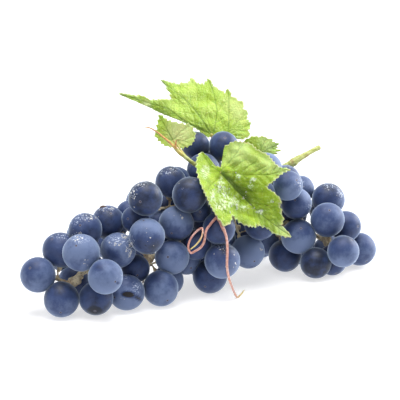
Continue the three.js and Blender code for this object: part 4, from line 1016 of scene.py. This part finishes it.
# Water left from rinsing: low drops and fine beads on the upper berries and the front leaf,
# milky white as a painted reflection of the bright room. Each patch is: across, down, how wide and
# how high in pixels, how many drops, and the half width of the largest in mm.
BERRY_DROPS = [(124, 237, 4, 3, 14, 0.85), (131, 246, 3, 8, 14, 0.8), (79, 233, 7, 4, 10, 0.45),
               (90, 218, 7, 3, 16, 0.55), (107, 208, 9, 3, 18, 0.6), (116, 243, 9, 6, 16, 0.5),
               (128, 252, 5, 9, 26, 0.75), (134, 193, 4, 8, 12, 0.6), (140, 184, 7, 3, 12, 0.55),
               (163, 172, 6, 3, 14, 0.6), (171, 168, 8, 2, 10, 0.6), (175, 184, 7, 6, 9, 0.5),
               (181.4, 218, 1.5, 1.5, 4, 0.6), (260.6, 249.4, 1.5, 2, 5, 0.55),
               (283, 167, 10, 3, 18, 0.55), (299, 184, 4, 7, 8, 0.45), (341, 192, 4, 6, 8, 0.45),
               (80, 238, 9, 3, 8, 0.5), (84, 262, 5, 5, 6, 0.4), (312, 206, 4, 5, 6, 0.4),
               (222, 250, 10, 6, 8, 0.4), (150, 240, 8, 8, 6, 0.4), (330, 190, 9, 5, 7, 0.4),
               (232, 265, 6, 10, 8, 0.45), (120, 300, 8, 6, 5, 0.4), (174, 214, 9, 5, 5, 0.4)]
LEAF_DROPS = [(238.4, 176.4, 3, 5, 9, 0.42), (253.2, 180, 3, 3, 6, 0.42),
              (272.8, 201, 1.5, 1.5, 3, 0.6), (251, 206.6, 4, 3, 7, 0.5),
              (261, 211.5, 5, 3, 9, 0.6), (226, 196, 7, 9, 20, 0.65), (219, 186, 4, 8, 10, 0.6),
              (232, 207, 6, 5, 11, 0.65), (243, 197, 6, 3, 8, 0.6), (213, 200, 4, 6, 5, 0.5),
              (247, 189, 7, 5, 7, 0.45)]
DROP_AROUND, DROP_RINGS = 12, 5
PER_DROP = DROP_AROUND * DROP_RINGS + 1
DROP_HIGH, DROP_SUNK = 0.55, 0.12  # over its half width
DROP_OVAL, DROP_CORNERED = 0.12, 0.08
FINEST, FEW_LARGE = 0.28, 2.2


def scattered(patches, seed):
    """Pixels strewn normally about the middle of each patch, and a half width in metres for each:
    most are fine beads, a few as large as the patch allows."""
    rng = np.random.default_rng(seed)
    pixels, halves = [], []
    for across, down, wide, high, count, largest in patches:
        pixels.append(np.column_stack([rng.normal(across, wide / 2, count),
                                       rng.normal(down, high / 2, count)]))
        halves.append(largest * MM * (FINEST + (1 - FINEST) * rng.random(count) ** FEW_LARGE))
    return np.concatenate(pixels), np.concatenate(halves)


def drops(name, places, normals, halves, material, seed):
    """Low domes standing on the skin, each a little out of round, with a flat underside sunk in."""
    rng = np.random.default_rng(seed)
    rise = np.linspace(0, math.pi / 2, DROP_RINGS, endpoint=False)
    turn = np.arange(DROP_AROUND) / DROP_AROUND * 2 * math.pi
    points, faces = [], []
    quads = ring_faces(DROP_RINGS, DROP_AROUND, 0)[:, [0, 3, 2, 1]]
    top = fan(PER_DROP - 1, DROP_AROUND, PER_DROP - 1 - DROP_AROUND)[:, [1, 2, 0]]
    under = np.arange(DROP_AROUND)[::-1]
    for place, normal, half in zip(places, normals, halves):
        round_off = half * (1 + DROP_OVAL * np.sin(2 * turn + rng.uniform(0, ANY_PHASE))
                            + DROP_CORNERED * np.sin(3 * turn + rng.uniform(0, ANY_PHASE)))
        ring = round_off[:, None] * ring_about(normal, DROP_AROUND)
        rows = (place - normal * DROP_SUNK * half + np.cos(rise)[:, None, None] * ring
                + (np.sin(rise) * DROP_HIGH * half)[:, None, None] * normal)
        first = len(points) * PER_DROP
        tip = place + normal * (DROP_HIGH - DROP_SUNK) * half
        points.append(np.concatenate([rows.reshape(-1, 3), tip[None]]))
        faces += (quads + first).tolist() + (top + first).tolist() + [(under + first).tolist()]
    piece(name, np.concatenate(points), faces, material)


def drops_on_berries(name, pixels, halves, material, seed):
    """Drops where the lines of sight through the pixels meet berries. The others are left out."""
    owner, places = met(pixels)
    on = owner >= 0
    normals = (places - CENTRES[owner]) / RADII[owner][:, None]
    drops(name, places[on], normals[on], halves[on], material, seed)


# The water has a white base colour under only part transmission, so the drops show milky white: a
# painted reflection of the bright room.
water = Nodes("water")
water.shader.inputs["Base Color"].default_value = (1, 1, 1, 1)
water.set(Roughness=0.05, IOR=1.33, Transmission_Weight=0.6, Specular_IOR_Level=0.8)
drops_on_berries("water_on_berries", *scattered(BERRY_DROPS, 31), water.material, 32)

# Dried remains of the flower that stuck to a berry: brown lumps, each given by pixels across and
# down and its half width in mm.
REMAINS = np.array([(98.5, 207.6, 1.7), (102.3, 206.8, 1.4), (95.4, 209.4, 0.9),
                    (104.8, 206.6, 0.8)])
husk = Nodes("dried_flower")
husk.shader.inputs["Base Color"].default_value = (0.075, 0.045, 0.035, 1)
husk.set(Roughness=0.8)
husk.bump(husk.noise(0.5 * MM, detail=4), 0.4 * MM)
drops_on_berries("dried_flower_remains", REMAINS[:, :2], REMAINS[:, 2] * MM, husk.material, 35)

# The front leaf's drops stand square to its nearest points. One that misses the leaf is left out.
OFF_LEAF, NEAREST = 1.2, 14
pixels, halves = scattered(LEAF_DROPS, 33)
near = np.linalg.norm(pixels[:, None] - leaf_flat[None], axis=2)
closest = near.argmin(axis=1)
on = near.min(axis=1) < OFF_LEAF
about = leaf_points[np.argsort(near, axis=1)[:, :NEAREST]]
normals = np.linalg.svd(about - about.mean(axis=1, keepdims=True))[2][:, 2]
normals *= -np.sign(normals @ AHEAD)[:, None]
places = leaf_points[closest] + normals * BLADE_THICK / 2
drops("water_on_leaf", places[on], normals[on], halves[on], water.material, 34)

# The room: a white floor lit from below as a light table is, a sky that is brighter overhead
# and behind the bunch and white where the camera meets it, and three wide soft lights: one over
# the bunch, a weak one at its left and one at its right.
FLOOR_HALF = 6.0
floor_mesh = bpy.data.meshes.new("floor")
ends = ((-1, -1), (1, -1), (1, 1), (-1, 1))
floor_mesh.from_pydata([(x * FLOOR_HALF, y * FLOOR_HALF, 0) for x, y in ends], [], [(0, 1, 2, 3)])
floor = bpy.data.objects.new("floor", floor_mesh)
bpy.context.scene.collection.objects.link(floor)
paper = Nodes("white_floor")
paper.shader.inputs["Base Color"].default_value = (0.5, 0.5, 0.505, 1)
paper.shader.inputs["Emission Color"].default_value = (1, 1, 1, 1)
paper.set(Roughness=0.7, Specular_IOR_Level=0.2, Emission_Strength=0.60)
floor_mesh.materials.append(paper.material)

SKY_RISE = (0.0, 1.0, 0.08, 0.70)  # from how high to how high, and the brightness there
SKY_WALL = (0.25, 0.9, 0.0, 1.0)  # the same for how far it lies behind the bunch
world = bpy.data.worlds.new("white")
bpy.context.scene.world = world
world.use_nodes = True
sky = world.node_tree
height = sky.nodes.new("ShaderNodeSeparateXYZ")
sky.links.new(sky.nodes.new("ShaderNodeTexCoord").outputs["Generated"], height.inputs[0])


def sky_range(source, numbers):
    """Takes the first two numbers to the last two, evenly between them."""
    node = sky.nodes.new("ShaderNodeMapRange")
    for name, number in zip(RANGE, numbers):
        node.inputs[name].default_value = number
    sky.links.new(source, node.inputs["Value"])
    return node.outputs["Result"]


facing_wall = sky.nodes.new("ShaderNodeVectorMath")
facing_wall.operation = "DOT_PRODUCT"
facing_wall.inputs[1].default_value = (-math.sin(VIEW_AZIMUTH), math.cos(VIEW_AZIMUTH), 0)
sky.links.new(height.inputs[0].links[0].from_socket, facing_wall.inputs[0])
glow = sky.nodes.new("ShaderNodeMath")
sky.links.new(sky_range(height.outputs["Z"], SKY_RISE), glow.inputs[0])
sky.links.new(sky_range(facing_wall.outputs["Value"], SKY_WALL), glow.inputs[1])
seen_direct = sky.nodes.new("ShaderNodeMix")
seen_direct.inputs[3].default_value = 1.0
sky.links.new(sky.nodes.new("ShaderNodeLightPath").outputs["Is Camera Ray"], seen_direct.inputs[0])
sky.links.new(glow.outputs[0], seen_direct.inputs[2])
sky.nodes["Background"].inputs["Color"].default_value = (1, 1, 1, 1)
sky.links.new(seen_direct.outputs[0], sky.nodes["Background"].inputs["Strength"])

# Each light: where it stands in metres, its width and its power in watts. All aim at one place.
LIGHT_AIM = Vector((0, 0, 0.03))
LIGHTS = {"light_over": ((-0.04, -0.04, 0.98), 0.75, 11.8),
          "light_left": ((-0.95, -0.6, 0.6), 0.6, 2.3),
          "light_right": ((0.95, 0.0, 0.42), 0.6, 12.5)}
for name, (stands, wide, power) in LIGHTS.items():
    data = bpy.data.lights.new(name, "AREA")
    data.shape = "DISK"
    data.size = wide
    data.energy = power
    light = bpy.data.objects.new(name, data)
    light.location = stands
    light.rotation_euler = (LIGHT_AIM - Vector(stands)).to_track_quat("-Z", "Y").to_euler()
    bpy.context.scene.collection.objects.link(light)
bpy.context.scene.view_settings.view_transform = "Standard"
